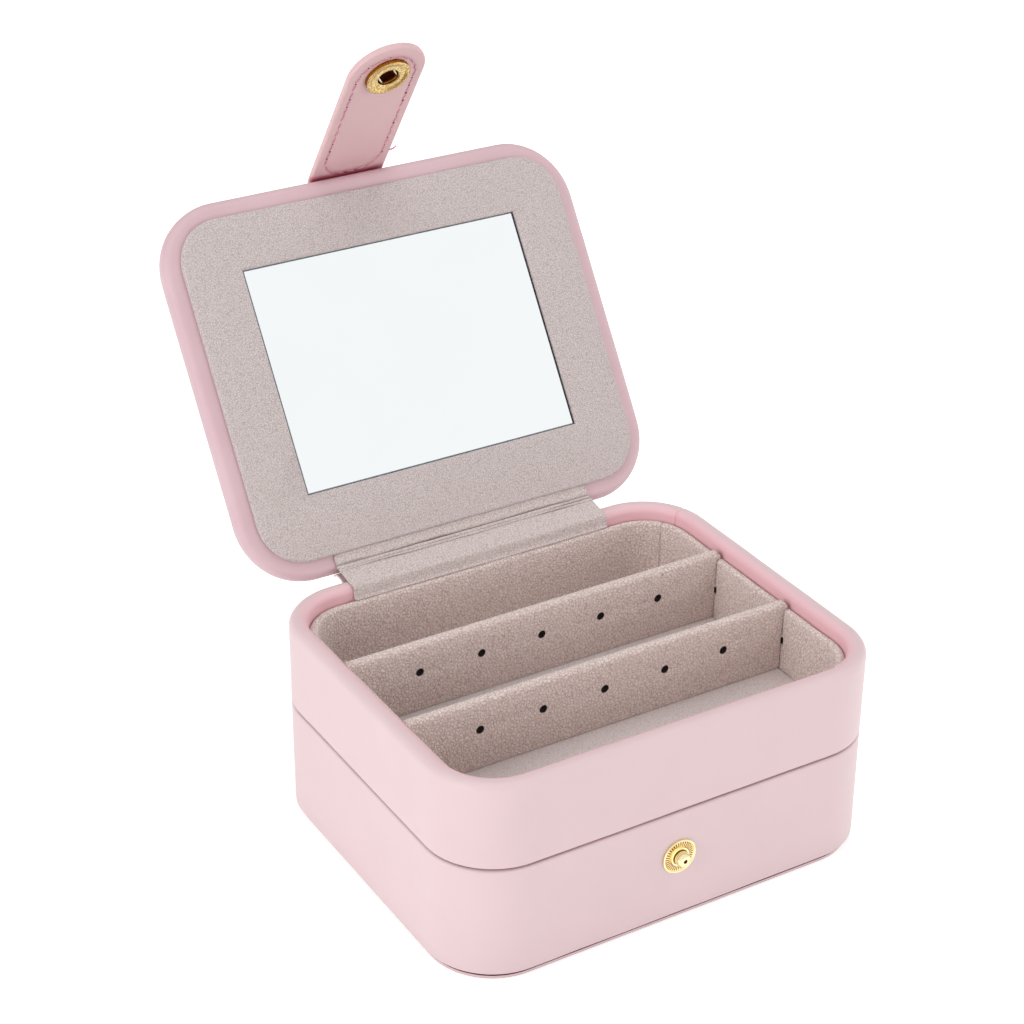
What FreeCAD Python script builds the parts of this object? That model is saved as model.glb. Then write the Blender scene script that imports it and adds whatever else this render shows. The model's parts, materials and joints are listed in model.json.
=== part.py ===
import FreeCAD, Part
import math
import os
from FreeCAD import Vector

# A two-layer jewellery case in leather cloth: a bottom tray, a middle tray hinged on its rear edge, and a lid
# with a mirror hinged on the middle tray. A strap on the lid snaps onto a stud on the bottom tray.
# Millimetres. X is the width, Y the depth with the front at -Y, Z is up. The origin is the centre of the
# underside. The trays are shut and the lid stands open at its stop.

# Outline of the case
case_width = 115.0
case_depth = 95.0
corner_radius = 17.0

# Heights, from the table up
base_plate_thickness = 1.8
base_wall_height = 28.4
seam_gap = 0.3
middle_height = 22.0
lid_gap = 0.7
lid_thickness = 6.1

# Walls: a board ring with leather wrapped over its rim and turned in behind it
leather = 0.8
wall_board = 3.0
turn_in = 8.0
base_rim_round = 1.2
middle_rim_round = 2.2
lower_edge_round = 0.5
base_plate_inset = 1.4

# Velvet linings and the middle tray's floor
lining_thickness = 2.2
lining_drop = 2.9
floor_lining = 0.6
floor_board = 1.2
underside_facing = 0.4
floor_clearance = 0.1

# Earring dividers in the middle tray, with ears that drop into slots of the lining
divider_thickness = 2.8
divider_drop = 1.5
front_divider_y = -11.9
rear_divider_y = 15.9
divider_side_gap = 0.3
ear_height = 9.5
ear_end_gap = 0.2
slot_side_gap = 0.15
slot_notch = 1.0
hole_diameter = 2.4
hole_pitch = 16.75
hole_count = 5
hole_drop = 7.8

# Bottom tray inside: foam bars for rings on one side, two compartments on the other
roll_width = 12.0
roll_height = 18.0
roll_gap = 0.4
roll_end_gap = 0.3
base_divider_drop = 0.6
cross_divider_y = 6.0

# Lid
lid_rim_round = 2.0
lid_top_round = 3.0
lid_board_thickness = 2.0
lid_turn_in = 12.0
panel_margin = 4.4
panel_radius = 11.5
panel_proud = 1.4
panel_edge_round = 0.6
mirror_width = 76.0
mirror_depth = 56.5
mirror_glass = 1.7
mirror_forward = 0.9
mirror_clearance = 0.3

# Hinges: the lid's axis lies behind the middle tray's rim, the tray's axis behind the seam
lid_open_deg = 124.0
lid_hinge_back = 1.5
lid_hinge_drop = 0.45
hinge_width = 72.0
hinge_velvet = 0.5
hinge_leather = 0.6
hinge_clearance = 0.1
hinge_bend = 0.9
spine_joint_height = 42.0
spine_foot_height = 19.0
spine_lid_overlap = 4.4

# Strap: two sewn layers, wrapped part of the way round the lid's front edge, with the fold where they leave it
strap_offset = -1.6
strap_width = 20.5
strap_layer = 0.8
strap_tip_radius = 10.0
strap_tip_margin = 10.9
strap_tail_length = 26.0
strap_tail_radius = 3.0
strap_wrap_deg = 62.0
strap_stand_off = 0.7
strap_fold_gap = 0.3
strap_rest_deg = 68.0
strap_shut_deg = 87.4

# Snap fastener: ball stud and rivet on the bottom tray, socket, springs and cap on the strap
stud_height = 18.2
stud_flange_radius = 4.6
stud_flange_height = 0.6
stud_dish_depth = 0.2
stud_collar_radius = 2.2
stud_collar_height = 0.75
stud_neck_radius = 1.25
stud_ball_radius = 1.7
stud_ball_reach = 2.1
stud_tip_radius = 1.2
stud_dimple_radius = 0.4
stud_dimple_depth = 0.4
rivet_shank_radius = 0.8
rivet_shank_reach = 0.7
rivet_head_radius = 3.2
rivet_head_thickness = 0.6
rivet_clearance = 0.1
socket_radius = 5.7
socket_height = 1.2
socket_dish_depth = 0.2
socket_plate = 0.3
socket_mouth_radius = 2.7
socket_cavity_radius = 3.3
spring_wire_radius = 0.28
spring_wire_spacing = 4.1
spring_wire_depth = 0.84
spring_turn_deg = -35.0
cap_radius = 6.2
cap_dome_height = 1.3
cap_tube_radius = 3.2
cap_tube_wall = 0.3
cap_tube_clearance = 0.05
cap_hollow = 0.6

# Levels and insets that follow from the sizes above
base_rim = base_plate_thickness + base_wall_height
middle_bottom = base_rim + seam_gap
middle_rim = middle_bottom + middle_height
lid_bottom = middle_rim + lid_gap
lid_top = lid_bottom + lid_thickness
wall = 2 * leather + wall_board
frame_inset = leather + wall_board
lining_inset = wall + lining_thickness
floor_board_bottom = middle_bottom + underside_facing
floor_board_top = floor_board_bottom + floor_board
middle_floor = floor_board_top + floor_lining
base_floor = base_plate_thickness + floor_lining
base_lining_top = base_rim - lining_drop
middle_lining_top = middle_rim - lining_drop
inner_half_width = case_width / 2 - lining_inset
inner_half_depth = case_depth / 2 - lining_inset
front_y = -case_depth / 2
rear_y = case_depth / 2
lid_axis = Vector(0, rear_y + lid_hinge_back, middle_rim - lid_hinge_drop)
wrap_centre = Vector(strap_offset, front_y + lid_top_round, lid_top - lid_top_round)
wrap_radius = lid_top_round + strap_layer
fold_radius = wrap_radius + strap_stand_off
wrap_angle = math.radians(strap_wrap_deg)
strap_pivot = wrap_centre + Vector(0, -math.sin(wrap_angle), math.cos(wrap_angle)) * fold_radius
shut_angle = math.radians(strap_shut_deg)
stud_ball = Vector(strap_offset, front_y - stud_ball_reach, stud_height)
socket_reach = (stud_ball - strap_pivot).dot(Vector(0, -math.cos(shut_angle), -math.sin(shut_angle)))
along_x = Vector(1, 0, 0)
along_z = Vector(0, 0, 1)


def rounded_outline(width, depth, radius, z):
    """Face of a rectangle with round corners, centred on the Z axis."""
    hx, hy = width / 2, depth / 2
    diagonal = radius * (1 - math.sqrt(0.5))
    edges = []
    for sx, sy, turned in ((1, 1, False), (-1, 1, True), (-1, -1, False), (1, -1, True)):
        on_side = Vector(sx * hx, sy * (hy - radius), z)
        on_end = Vector(sx * (hx - radius), sy * hy, z)
        middle = Vector(sx * (hx - diagonal), sy * (hy - diagonal), z)
        first, last = (on_end, on_side) if turned else (on_side, on_end)
        edges.append((first, middle, last))
    wire = []
    for i, (first, middle, last) in enumerate(edges):
        wire.append(Part.Arc(first, middle, last).toShape())
        following = edges[(i + 1) % len(edges)][0]
        wire.append(Part.LineSegment(last, following).toShape())
    return Part.Face(Part.Wire(wire))


def rounded_plate(width, depth, radius, z0, z1):
    """Flat plate with round corners, between two heights."""
    return rounded_outline(width, depth, radius, z0).extrude(Vector(0, 0, z1 - z0))


def slab(inset, z0, z1):
    """Plate that follows the case's outline, drawn in by an inset."""
    return rounded_plate(case_width - 2 * inset, case_depth - 2 * inset, corner_radius - inset, z0, z1)


def edges_at(shape, z):
    """Edges that lie flat at one height."""
    return [e for e in shape.Edges if abs(e.BoundBox.ZMin - z) < 1e-6 and abs(e.BoundBox.ZMax - z) < 1e-6]


def wall_ring(outer_inset, inner_inset, z0, z1, rim_round, foot_round=0.0):
    """Ring of wall with a rounded rim, and an eased outer edge at its foot."""
    ring = slab(outer_inset, z0, z1)
    if foot_round:
        ring = ring.makeFillet(foot_round, edges_at(ring, z0))
    ring = ring.cut(slab(inner_inset, z0 - 1, z1 + 1))
    return ring.makeFillet(rim_round, edges_at(ring, z1))


def box(x0, x1, y0, y1, z0, z1):
    return Part.makeBox(x1 - x0, y1 - y0, z1 - z0, Vector(x0, y0, z0))


def turned(profile, axis):
    """Solid of revolution about an axis through the origin, from edges in the half plane beside the axis."""
    return Part.Face(Part.Wire(profile)).revolve(Vector(0, 0, 0), axis, 360)


def outline_edges(points, arcs):
    """Closed run of edges through points; arcs maps a point's index to a place the edge after it passes."""
    edges = []
    for i, start in enumerate(points):
        end = points[(i + 1) % len(points)]
        if i in arcs:
            edges.append(Part.Arc(start, arcs[i], end).toShape())
        else:
            edges.append(Part.LineSegment(start, end).toShape())
    return edges


def ribbon(points, bend, thickness, width):
    """Strip of sheet across the case: its middle line runs through (y, z) points with round bends."""
    path = [Vector(0, y, z) for y, z in points]
    runs = [(b - a).normalize() for a, b in zip(path, path[1:])]
    lefts = [Vector(0, -d.z, d.y) for d in runs]
    sides = []
    for offset in (thickness / 2, -thickness / 2):
        edges = []
        here = path[0] + lefts[0] * offset
        for i in range(1, len(path) - 1):
            before, after = runs[i - 1], runs[i]
            angle = math.atan2(before.y * after.z - before.z * after.y, before.dot(after))
            reach = bend * math.tan(abs(angle) / 2)
            side = math.copysign(1.0, angle)
            start = path[i] - before * reach + lefts[i - 1] * offset
            end = path[i] + after * reach + lefts[i] * offset
            centre = path[i] - before * reach + lefts[i - 1] * (side * bend)
            outward = (start - centre).normalize() + (end - centre).normalize()
            middle = centre + outward.normalize() * (bend - side * offset)
            edges.append(Part.LineSegment(here, start).toShape())
            edges.append(Part.Arc(start, middle, end).toShape())
            here = end
        last = path[-1] + lefts[-1] * offset
        if here.distanceToPoint(last) > 1e-6:
            edges.append(Part.LineSegment(here, last).toShape())
        sides.append((edges, path[0] + lefts[0] * offset, last))
    (left, left_start, left_end), (right, right_start, right_end) = sides
    ends = [Part.LineSegment(left_end, right_end).toShape(), Part.LineSegment(right_start, left_start).toShape()]
    face = Part.Face(Part.Wire(Part.__sortEdges__(left + right + ends)))
    strip = face.extrude(Vector(width, 0, 0))
    strip.translate(Vector(-width / 2, 0, 0))
    return strip


def opened(shape):
    """A piece of the shut lid, turned to where the open lid stands."""
    return shape.rotated(lid_axis, along_x, -lid_open_deg)


def lid_point(from_rear, inward):
    """Place (y, z) on the open lid: distance from its rear edge, and from its rim plane towards the inside."""
    shut = Part.Vertex(0, rear_y - from_rear, lid_bottom - inward)
    point = opened(shut).Point
    return point.y, point.z


def tray_wall(foot, rim, rim_round):
    """Board ring and leather of one tray. The leather is an upside-down U over the board."""
    board = wall_ring(leather, frame_inset, foot, rim - leather, rim_round - leather)
    skin = wall_ring(0, wall, foot, rim, rim_round, lower_edge_round)
    skin = skin.cut(slab(leather, foot - 1, rim - turn_in).cut(board)).cut(board)
    return board, skin


def wall_lining(floor, top):
    return slab(wall, floor, top).cut(slab(lining_inset, floor - 1, top + 1))


def base_plate():
    plate = slab(base_plate_inset, 0, base_plate_thickness)
    return plate.makeFillet(lower_edge_round, edges_at(plate, 0))


def base_walls():
    """Board and leather of the bottom tray, pierced for the stud's rivet."""
    board, skin = tray_wall(base_plate_thickness, base_rim, base_rim_round)
    spot = Vector(strap_offset, front_y - 1, stud_height)
    along_y = Vector(0, 1, 0)
    shank_hole = Part.makeCylinder(rivet_shank_radius + rivet_clearance, wall + 1, spot, along_y)
    behind = Vector(strap_offset, front_y + frame_inset, stud_height)
    head_room = Part.makeCylinder(rivet_head_radius + rivet_clearance, leather, behind, along_y)
    return board.cut(shank_hole), skin.cut(shank_hole).cut(head_room)


def ring_rolls():
    """Foam bars with round tops, side by side across the right half of the bottom tray."""
    corner_room = (corner_radius - lining_inset) * (1 - math.sqrt(0.5)) + roll_end_gap
    pitch = roll_width + roll_gap
    room = 2 * (inner_half_depth - corner_room)
    count = int((room + roll_gap) / pitch)
    x0 = divider_thickness / 2 + roll_end_gap
    x1 = inner_half_width - corner_room
    shoulder = base_floor + roll_height - roll_width / 2
    rolls = []
    for i in range(count):
        y0 = (i - count / 2) * pitch + roll_gap / 2
        y1 = y0 + roll_width
        points = [Vector(x0, y0, base_floor), Vector(x0, y1, base_floor), Vector(x0, y1, shoulder),
                  Vector(x0, y0, shoulder)]
        top = Vector(x0, (y0 + y1) / 2, base_floor + roll_height)
        face = Part.Face(Part.Wire(outline_edges(points, {2: top})))
        rolls.append(face.extrude(Vector(x1 - x0, 0, 0)))
    return rolls


def eased_board(board, top):
    """Upright lining board with its two long top edges rounded over."""
    long_edges = [e for e in edges_at(board, top) if e.Length > 2 * divider_thickness]
    return board.makeFillet(divider_thickness * 0.45, long_edges)


def base_dividers():
    half = divider_thickness / 2
    top = base_lining_top - base_divider_drop
    reach = inner_half_depth - divider_side_gap
    long_board = box(-half, half, -reach, reach, base_floor, top)
    x0 = -inner_half_width + divider_side_gap
    y0 = cross_divider_y - half
    cross_board = box(x0, -half, y0, y0 + divider_thickness, base_floor, top)
    return eased_board(long_board, top), eased_board(cross_board, top)


def earring_divider(y):
    """Board across the middle tray with a row of holes; its upper half has ears that sit in the slots."""
    half = divider_thickness / 2
    top = middle_rim - divider_drop
    reach = inner_half_width - divider_side_gap
    ear_reach = case_width / 2 - wall - ear_end_gap
    board = box(-reach, reach, y - half, y + half, middle_floor, top)
    ears = box(-ear_reach, ear_reach, y - half, y + half, top - ear_height, top)
    board = eased_board(board.fuse(ears).removeSplitter(), top)
    for i in range(hole_count):
        x = (i - (hole_count - 1) / 2) * hole_pitch
        spot = Vector(x, y - divider_thickness, top - hole_drop)
        board = board.cut(Part.makeCylinder(hole_diameter / 2, 2 * divider_thickness, spot, Vector(0, 1, 0)))
    return board


def middle_lining():
    """Lining ring of the middle tray, slotted from its top for the dividers' ears."""
    lining = wall_lining(floor_board_top, middle_lining_top)
    half = divider_thickness / 2 + slot_side_gap
    slot_bottom = middle_rim - divider_drop - ear_height - slot_notch
    for y in (front_divider_y, rear_divider_y):
        slot = box(-case_width / 2, case_width / 2, y - half, y + half, slot_bottom, middle_rim)
        lining = lining.cut(slot)
    return lining


def lid_layers():
    """Board, foam and leather of the shut lid. The leather wraps both faces' edges and is turned in below."""
    core_bottom = lid_bottom + leather
    core_top = lid_top - leather
    core = slab(leather, core_bottom, core_top)
    core = core.makeFillet(lid_rim_round - leather, edges_at(core, core_bottom))
    core = core.makeFillet(lid_top_round - leather, edges_at(core, core_top))
    split = core_bottom + lid_board_thickness
    board = core.common(slab(0, core_bottom, split))
    padding = core.cut(board)
    cover = slab(0, lid_bottom, lid_top)
    cover = cover.makeFillet(lid_rim_round, edges_at(cover, lid_bottom))
    cover = cover.makeFillet(lid_top_round, edges_at(cover, lid_top))
    cover = cover.cut(core).cut(slab(lid_turn_in, lid_bottom - 1, core_bottom))
    return board, padding, cover


def mirror_plate(extra, z0, z1):
    """Block of the mirror's outline, grown by a clearance on each side."""
    half_x = mirror_width / 2 + extra
    half_y = mirror_depth / 2 + extra
    return box(-half_x, half_x, -mirror_forward - half_y, -mirror_forward + half_y, z0, z1)


def lid_panel():
    bottom = lid_bottom - panel_proud
    width = case_width - 2 * panel_margin
    depth = case_depth - 2 * panel_margin
    panel = rounded_plate(width, depth, panel_radius, bottom, lid_bottom)
    panel = panel.makeFillet(panel_edge_round, edges_at(panel, bottom))
    return panel.cut(mirror_plate(mirror_clearance, bottom - 1, lid_bottom + 1))


def mirror():
    back = lid_bottom + leather
    return mirror_plate(0, back - mirror_glass, back)


def strap_tail():
    """Fixed end of the strap, both layers, lying on the lid's outer face and round its front edge to the fold."""
    rear = wrap_centre.y + strap_tail_length
    middle = lid_top + strap_layer
    turn = wrap_angle - math.asin((strap_layer + strap_fold_gap) / fold_radius)
    reach = wrap_radius * math.tan(turn / 2)
    corner_y = wrap_centre.y - reach
    end = (corner_y - reach * math.cos(turn), middle - reach * math.sin(turn))
    tail = ribbon([(rear, middle), (corner_y, middle), end], wrap_radius, 2 * strap_layer, strap_width)
    corners = [e for e in tail.Edges if e.BoundBox.YMin > rear - 1e-6 and e.BoundBox.ZLength > strap_layer]
    return tail.makeFillet(strap_tail_radius, corners).translated(Vector(strap_offset, 0, 0))


def placed_on_strap(shape):
    """A strap piece drawn flat along -Y from the fold, turned and moved to where the open lid holds it."""
    folded = shape.rotated(Vector(0, 0, 0), along_x, strap_rest_deg)
    return opened(folded.translated(strap_pivot))


def strap_layer_shape(side):
    """One layer of the tongue: round at its tip and rounded about the fold; side is 1 outside, -1 inside."""
    half = strap_width / 2
    r = strap_tip_radius
    length = socket_reach + strap_tip_margin
    diagonal = r * (1 - math.sqrt(0.5))
    points = [Vector(-half, 0, 0), Vector(half, 0, 0), Vector(half, r - length, 0), Vector(half - r, -length, 0),
              Vector(r - half, -length, 0), Vector(-half, r - length, 0)]
    arcs = {2: Vector(half - diagonal, diagonal - length, 0), 4: Vector(diagonal - half, diagonal - length, 0)}
    tongue = Part.Face(Part.Wire(outline_edges(points, arcs))).extrude(Vector(0, 0, side * strap_layer))
    step = strap_layer * math.sqrt(0.5)
    corner = [Vector(-half, 0, 0), Vector(-half, strap_layer, 0), Vector(-half, 0, side * strap_layer)]
    root = Part.Face(Part.Wire(outline_edges(corner, {1: Vector(-half, step, side * step)})))
    layer = tongue.fuse(root.extrude(Vector(strap_width, 0, 0))).removeSplitter()
    tube_radius = cap_tube_radius + cap_tube_clearance
    hole = Part.makeCylinder(tube_radius, 4 * strap_layer, Vector(0, -socket_reach, -2 * strap_layer))
    return layer.cut(hole)


def at_socket(shape):
    """A snap piece drawn about the Z axis, moved to the socket's place on the strap's inner face."""
    return placed_on_strap(shape.translated(Vector(0, -socket_reach, -strap_layer)))


def snap_socket():
    """Dished gilt ring on the strap's inner face, with a mouth for the ball and a cavity for the springs."""
    r, h = socket_radius, socket_height
    ease = h / 3
    slant = ease * (1 - math.sqrt(0.5))
    lip = h - socket_dish_depth
    hollow = lip - socket_plate
    dish = (r + socket_mouth_radius) / 2
    profile = [(socket_cavity_radius, 0), (r, 0), (r, -h + ease), (r - ease, -h), (dish + ease, -h),
               (dish - ease, -lip), (socket_mouth_radius, -lip), (socket_mouth_radius, -hollow),
               (socket_cavity_radius, -hollow)]
    points = [Vector(x, 0, z) for x, z in profile]
    return turned(outline_edges(points, {2: Vector(r - slant, 0, -h + slant)}), along_z)


def snap_springs():
    """Two straight spring wires, a little askew in the socket's cavity; the ball passes between them."""
    half_gap = spring_wire_spacing / 2
    length = 2 * math.sqrt((socket_cavity_radius - rivet_clearance) ** 2 - (half_gap + spring_wire_radius) ** 2)
    z = spring_wire_depth - socket_height
    wires = []
    for side in (-1, 1):
        start = Vector(side * half_gap, -length / 2, z)
        wires.append(Part.makeCylinder(spring_wire_radius, length, start, Vector(0, 1, 0)))
    return Part.makeCompound(wires).rotated(Vector(0, 0, 0), along_z, spring_turn_deg)


def snap_cap():
    """Domed cap on the strap's outer face, with a tube through both layers that the socket is held by."""
    face = 2 * strap_layer
    bore = cap_tube_radius - cap_tube_wall
    dome_radius = (cap_radius ** 2 + cap_dome_height ** 2) / (2 * cap_dome_height)
    middle_r = cap_radius / 2
    centre_z = face + cap_dome_height - dome_radius
    middle_z = centre_z + math.sqrt(dome_radius ** 2 - middle_r ** 2)
    profile = [(0, face + cap_hollow), (bore, face + cap_hollow), (bore, 0), (cap_tube_radius, 0),
               (cap_tube_radius, face), (cap_radius, face), (0, face + cap_dome_height)]
    points = [Vector(x, 0, z) for x, z in profile]
    return turned(outline_edges(points, {5: Vector(middle_r, 0, middle_z)}), along_z)


def facing_front(shape):
    """A stud piece drawn about the Z axis, turned to stand out of the front wall."""
    return shape.rotated(Vector(0, 0, 0), along_x, 90).translated(Vector(strap_offset, front_y, stud_height))


def snap_stud():
    """Flat-topped ball on a neck and collar, with a dished flange on the leather and a bore for its rivet."""
    bore = rivet_shank_radius
    ease = stud_flange_height / 2
    slant = ease * (1 - math.sqrt(0.5))
    dish = stud_flange_height - stud_dish_depth
    neck_top = stud_ball_reach - math.sqrt(stud_ball_radius ** 2 - stud_neck_radius ** 2)
    tip = stud_ball_reach + math.sqrt(stud_ball_radius ** 2 - stud_tip_radius ** 2)
    rim = stud_flange_radius - ease
    profile = [(bore, 0), (stud_flange_radius, 0), (stud_flange_radius, ease), (rim, stud_flange_height),
               (rim - ease, stud_flange_height), (rim - 2 * ease, dish), (stud_collar_radius, dish),
               (stud_collar_radius, stud_collar_height), (stud_neck_radius, stud_collar_height),
               (stud_neck_radius, neck_top), (stud_tip_radius, tip), (stud_dimple_radius, tip),
               (stud_dimple_radius, tip - stud_dimple_depth), (0, tip - stud_dimple_depth),
               (0, rivet_shank_reach), (bore, rivet_shank_reach)]
    points = [Vector(x, 0, z) for x, z in profile]
    arcs = {2: Vector(stud_flange_radius - slant, 0, stud_flange_height - slant),
            9: Vector(stud_ball_radius, 0, stud_ball_reach)}
    return facing_front(turned(outline_edges(points, arcs), along_z))


def stud_rivet():
    """Flat head behind the wall board, with a shank through the wall into the stud."""
    head_back = -frame_inset - rivet_head_thickness
    profile = [(0, rivet_shank_reach), (rivet_shank_radius, rivet_shank_reach), (rivet_shank_radius, -frame_inset),
               (rivet_head_radius, -frame_inset), (rivet_head_radius, head_back), (0, head_back)]
    points = [Vector(x, 0, z) for x, z in profile]
    return facing_front(turned(outline_edges(points, {}), along_z))


def lid_hinge_lining():
    """Velvet strip from beside the lid's panel, over both rims, down to the top of the tray's lining."""
    off = hinge_velvet / 2 + hinge_clearance
    inner_y = rear_y - wall - off
    points = [lid_point(panel_margin - hinge_clearance, off), lid_point(lid_rim_round, off),
              (rear_y - wall / 2, middle_rim + off), (inner_y, middle_rim + off),
              (inner_y, middle_lining_top + hinge_clearance)]
    return ribbon(points, hinge_bend, hinge_velvet, hinge_width)


def lid_hinge_spine():
    """Leather strip from the middle tray's rear wall, across the gap, onto the open lid's rear edge."""
    off = hinge_leather / 2 + hinge_clearance
    outer_y = rear_y + off
    points = [(outer_y, spine_joint_height), (outer_y, middle_rim - middle_rim_round / 2),
              lid_point(-off, -lid_rim_round / 2), lid_point(-off, -spine_lid_overlap)]
    return ribbon(points, hinge_bend, hinge_leather, hinge_width)


def tray_hinge_spine():
    """Leather strip on the rear walls, across the seam of the two trays."""
    y0 = rear_y + hinge_clearance
    return box(-hinge_width / 2, hinge_width / 2, y0, y0 + hinge_leather, spine_foot_height,
               spine_joint_height - hinge_clearance)


def all_pieces():
    """Every piece of the case, by the name a maker would give it."""
    pieces = {"base_plate": base_plate()}
    pieces["base_frame"], pieces["base_cover"] = base_walls()
    pieces["base_wall_lining"] = wall_lining(base_plate_thickness, base_lining_top)
    pieces["base_floor_lining"] = slab(lining_inset + floor_clearance, base_plate_thickness, base_floor)
    pieces["base_long_divider"], pieces["base_cross_divider"] = base_dividers()
    for i, roll in enumerate(ring_rolls()):
        pieces["ring_roll_%d" % (i + 1)] = roll
    pieces["snap_stud"] = snap_stud()
    pieces["stud_rivet"] = stud_rivet()
    pieces["tray_hinge_spine"] = tray_hinge_spine()

    pieces["middle_frame"], pieces["middle_cover"] = tray_wall(middle_bottom, middle_rim, middle_rim_round)
    pieces["middle_frame"] = pieces["middle_frame"].cut(slab(0, middle_bottom - 1, floor_board_bottom))
    pieces["middle_underside"] = slab(leather, middle_bottom, floor_board_bottom)
    pieces["middle_floor_board"] = slab(frame_inset, floor_board_bottom, floor_board_top)
    pieces["middle_wall_lining"] = middle_lining()
    pieces["middle_floor_lining"] = slab(lining_inset + floor_clearance, floor_board_top, middle_floor)
    pieces["earring_divider_front"] = earring_divider(front_divider_y)
    pieces["earring_divider_rear"] = earring_divider(rear_divider_y)
    pieces["lid_hinge_lining"] = lid_hinge_lining()
    pieces["lid_hinge_spine"] = lid_hinge_spine()

    board, padding, cover = lid_layers()
    shut_lid = {"lid_board": board, "lid_padding": padding, "lid_cover": cover, "lid_panel": lid_panel(),
                "mirror": mirror(), "strap_tail": strap_tail()}
    for name, shape in shut_lid.items():
        pieces[name] = opened(shape)

    pieces["strap_outer"] = placed_on_strap(strap_layer_shape(1))
    pieces["strap_lining"] = placed_on_strap(strap_layer_shape(-1))
    pieces["snap_socket"] = at_socket(snap_socket())
    pieces["snap_springs"] = at_socket(snap_springs())
    pieces["snap_cap"] = at_socket(snap_cap())
    return pieces


os.makedirs("parts", exist_ok=True)
for name, shape in all_pieces().items():
    shape.exportStep("parts/%s.step" % name)
    print("%-22s solids %d  volume %9.2f  valid %s" % (name, len(shape.Solids), shape.Volume, shape.isValid()))
print("lid axis", lid_axis, "strap pivot when shut", strap_pivot, "socket reach", round(socket_reach, 2))
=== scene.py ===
# %% [markdown]
# A two-layer jewellery case in pink coated leather cloth, with velvet linings, a mirror and a gilt snap.
# The construction is loaded as a fixed frame. This lesson dresses it: the leather walls, the velvet, the
# strap with its stitches, the cloth hinges and the snap are modelled here, and every surface gets its
# finish.

# %% Load the frame
import bmesh
import bpy
import json
import math
from mathutils import Matrix, Vector, noise


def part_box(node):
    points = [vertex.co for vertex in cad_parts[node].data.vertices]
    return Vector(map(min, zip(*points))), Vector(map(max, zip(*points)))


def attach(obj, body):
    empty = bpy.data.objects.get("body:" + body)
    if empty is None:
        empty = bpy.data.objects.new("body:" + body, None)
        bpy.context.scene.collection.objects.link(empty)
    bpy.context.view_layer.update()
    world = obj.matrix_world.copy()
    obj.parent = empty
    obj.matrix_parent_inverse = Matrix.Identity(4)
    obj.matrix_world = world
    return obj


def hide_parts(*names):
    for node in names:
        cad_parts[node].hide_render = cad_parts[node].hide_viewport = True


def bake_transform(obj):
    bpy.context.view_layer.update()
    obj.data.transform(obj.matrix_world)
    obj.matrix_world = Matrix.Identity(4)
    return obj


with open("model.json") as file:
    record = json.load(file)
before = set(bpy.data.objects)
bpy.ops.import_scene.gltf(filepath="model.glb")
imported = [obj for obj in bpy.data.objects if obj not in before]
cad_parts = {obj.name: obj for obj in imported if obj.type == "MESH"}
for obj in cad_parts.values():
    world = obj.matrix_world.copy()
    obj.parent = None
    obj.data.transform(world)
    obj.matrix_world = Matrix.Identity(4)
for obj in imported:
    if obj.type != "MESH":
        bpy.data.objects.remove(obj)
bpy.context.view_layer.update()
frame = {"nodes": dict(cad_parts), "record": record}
JOINTS = {joint["name"]: joint for joint in frame["record"]["behaviour"]["joints"]}
print("frame: %d nodes and %d joints" % (len(frame["nodes"]), len(JOINTS)))

# %% [markdown]
# Blender works in metres, but a case like this is measured in millimetres, so every size is written in mm
# and turned by one function. Heights and widths that the frame already holds are read from the boxes of
# its nodes.

# %% Sizes that the pieces share
MM = 0.001
TINY = 0.01 * MM


def mm(*values):
    """Millimetres to metres: one value, or a tuple of them."""
    metres = tuple(value * MM for value in values)
    return metres[0] if len(metres) == 1 else metres


def in_mm(place):
    """A place in metres as rounded millimetres, to print."""
    return [round(value / MM, 1) for value in place]


CASE_LOW, CASE_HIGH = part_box("base_cover")
CASE_WIDTH = CASE_HIGH.x - CASE_LOW.x
CASE_DEPTH = CASE_HIGH.y - CASE_LOW.y
FRONT_Y, REAR_Y = CASE_LOW.y, CASE_HIGH.y
CORNER_RADIUS = mm(17)
CORNER_STEPS = 16
MIDDLE_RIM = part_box("middle_cover")[1].z
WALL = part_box("middle_wall_lining")[0].x - CASE_LOW.x
FLOOR_CLEARANCE = mm(0.1)
LINING_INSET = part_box("middle_floor_lining")[0].x - CASE_LOW.x - FLOOR_CLEARANCE
print("case, wall and lining inset in mm:", in_mm((CASE_WIDTH, CASE_DEPTH, WALL, LINING_INSET)))

# %% [markdown]
# The photograph was taken from the front left, a little above, with a long lens. The camera's place was
# worked out from the straight edges and the corners of the two trays. A long lens keeps the edges nearly
# parallel.

# %% Camera
CAMERA_PLACE = Vector(mm(-270.5, -416.0, 356.9))
CAMERA_TARGET = Vector(mm(-3.57, 23.17, 73.69))
CAMERA_ROLL = math.radians(0.525)
CAMERA_LENS_MM = 87.41
SENSOR_MM = 36.0
NEAREST_SEEN = mm(10)

camera_data = bpy.data.cameras.new("camera")
camera_data.lens = CAMERA_LENS_MM
camera_data.sensor_width = SENSOR_MM
camera_data.clip_start = NEAREST_SEEN
camera = bpy.data.objects.new("camera", camera_data)
bpy.context.scene.collection.objects.link(camera)
aim = (CAMERA_TARGET - CAMERA_PLACE).to_track_quat("-Z", "Y").to_matrix().to_4x4()
camera.matrix_world = Matrix.Translation(CAMERA_PLACE) @ aim @ Matrix.Rotation(CAMERA_ROLL, 4, "Z")
bpy.context.scene.camera = camera
bpy.context.scene.view_settings.view_transform = "Standard"
print("camera %.0f mm lens, %.2f m away" % (CAMERA_LENS_MM, (CAMERA_TARGET - CAMERA_PLACE).length))

# %% [markdown]
# A material is a small tree of nodes. One function adds a node, sets its options and fills its inputs. An
# input that is given another node, or one of its sockets, is linked, and anything else is set as a plain
# value.

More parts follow.
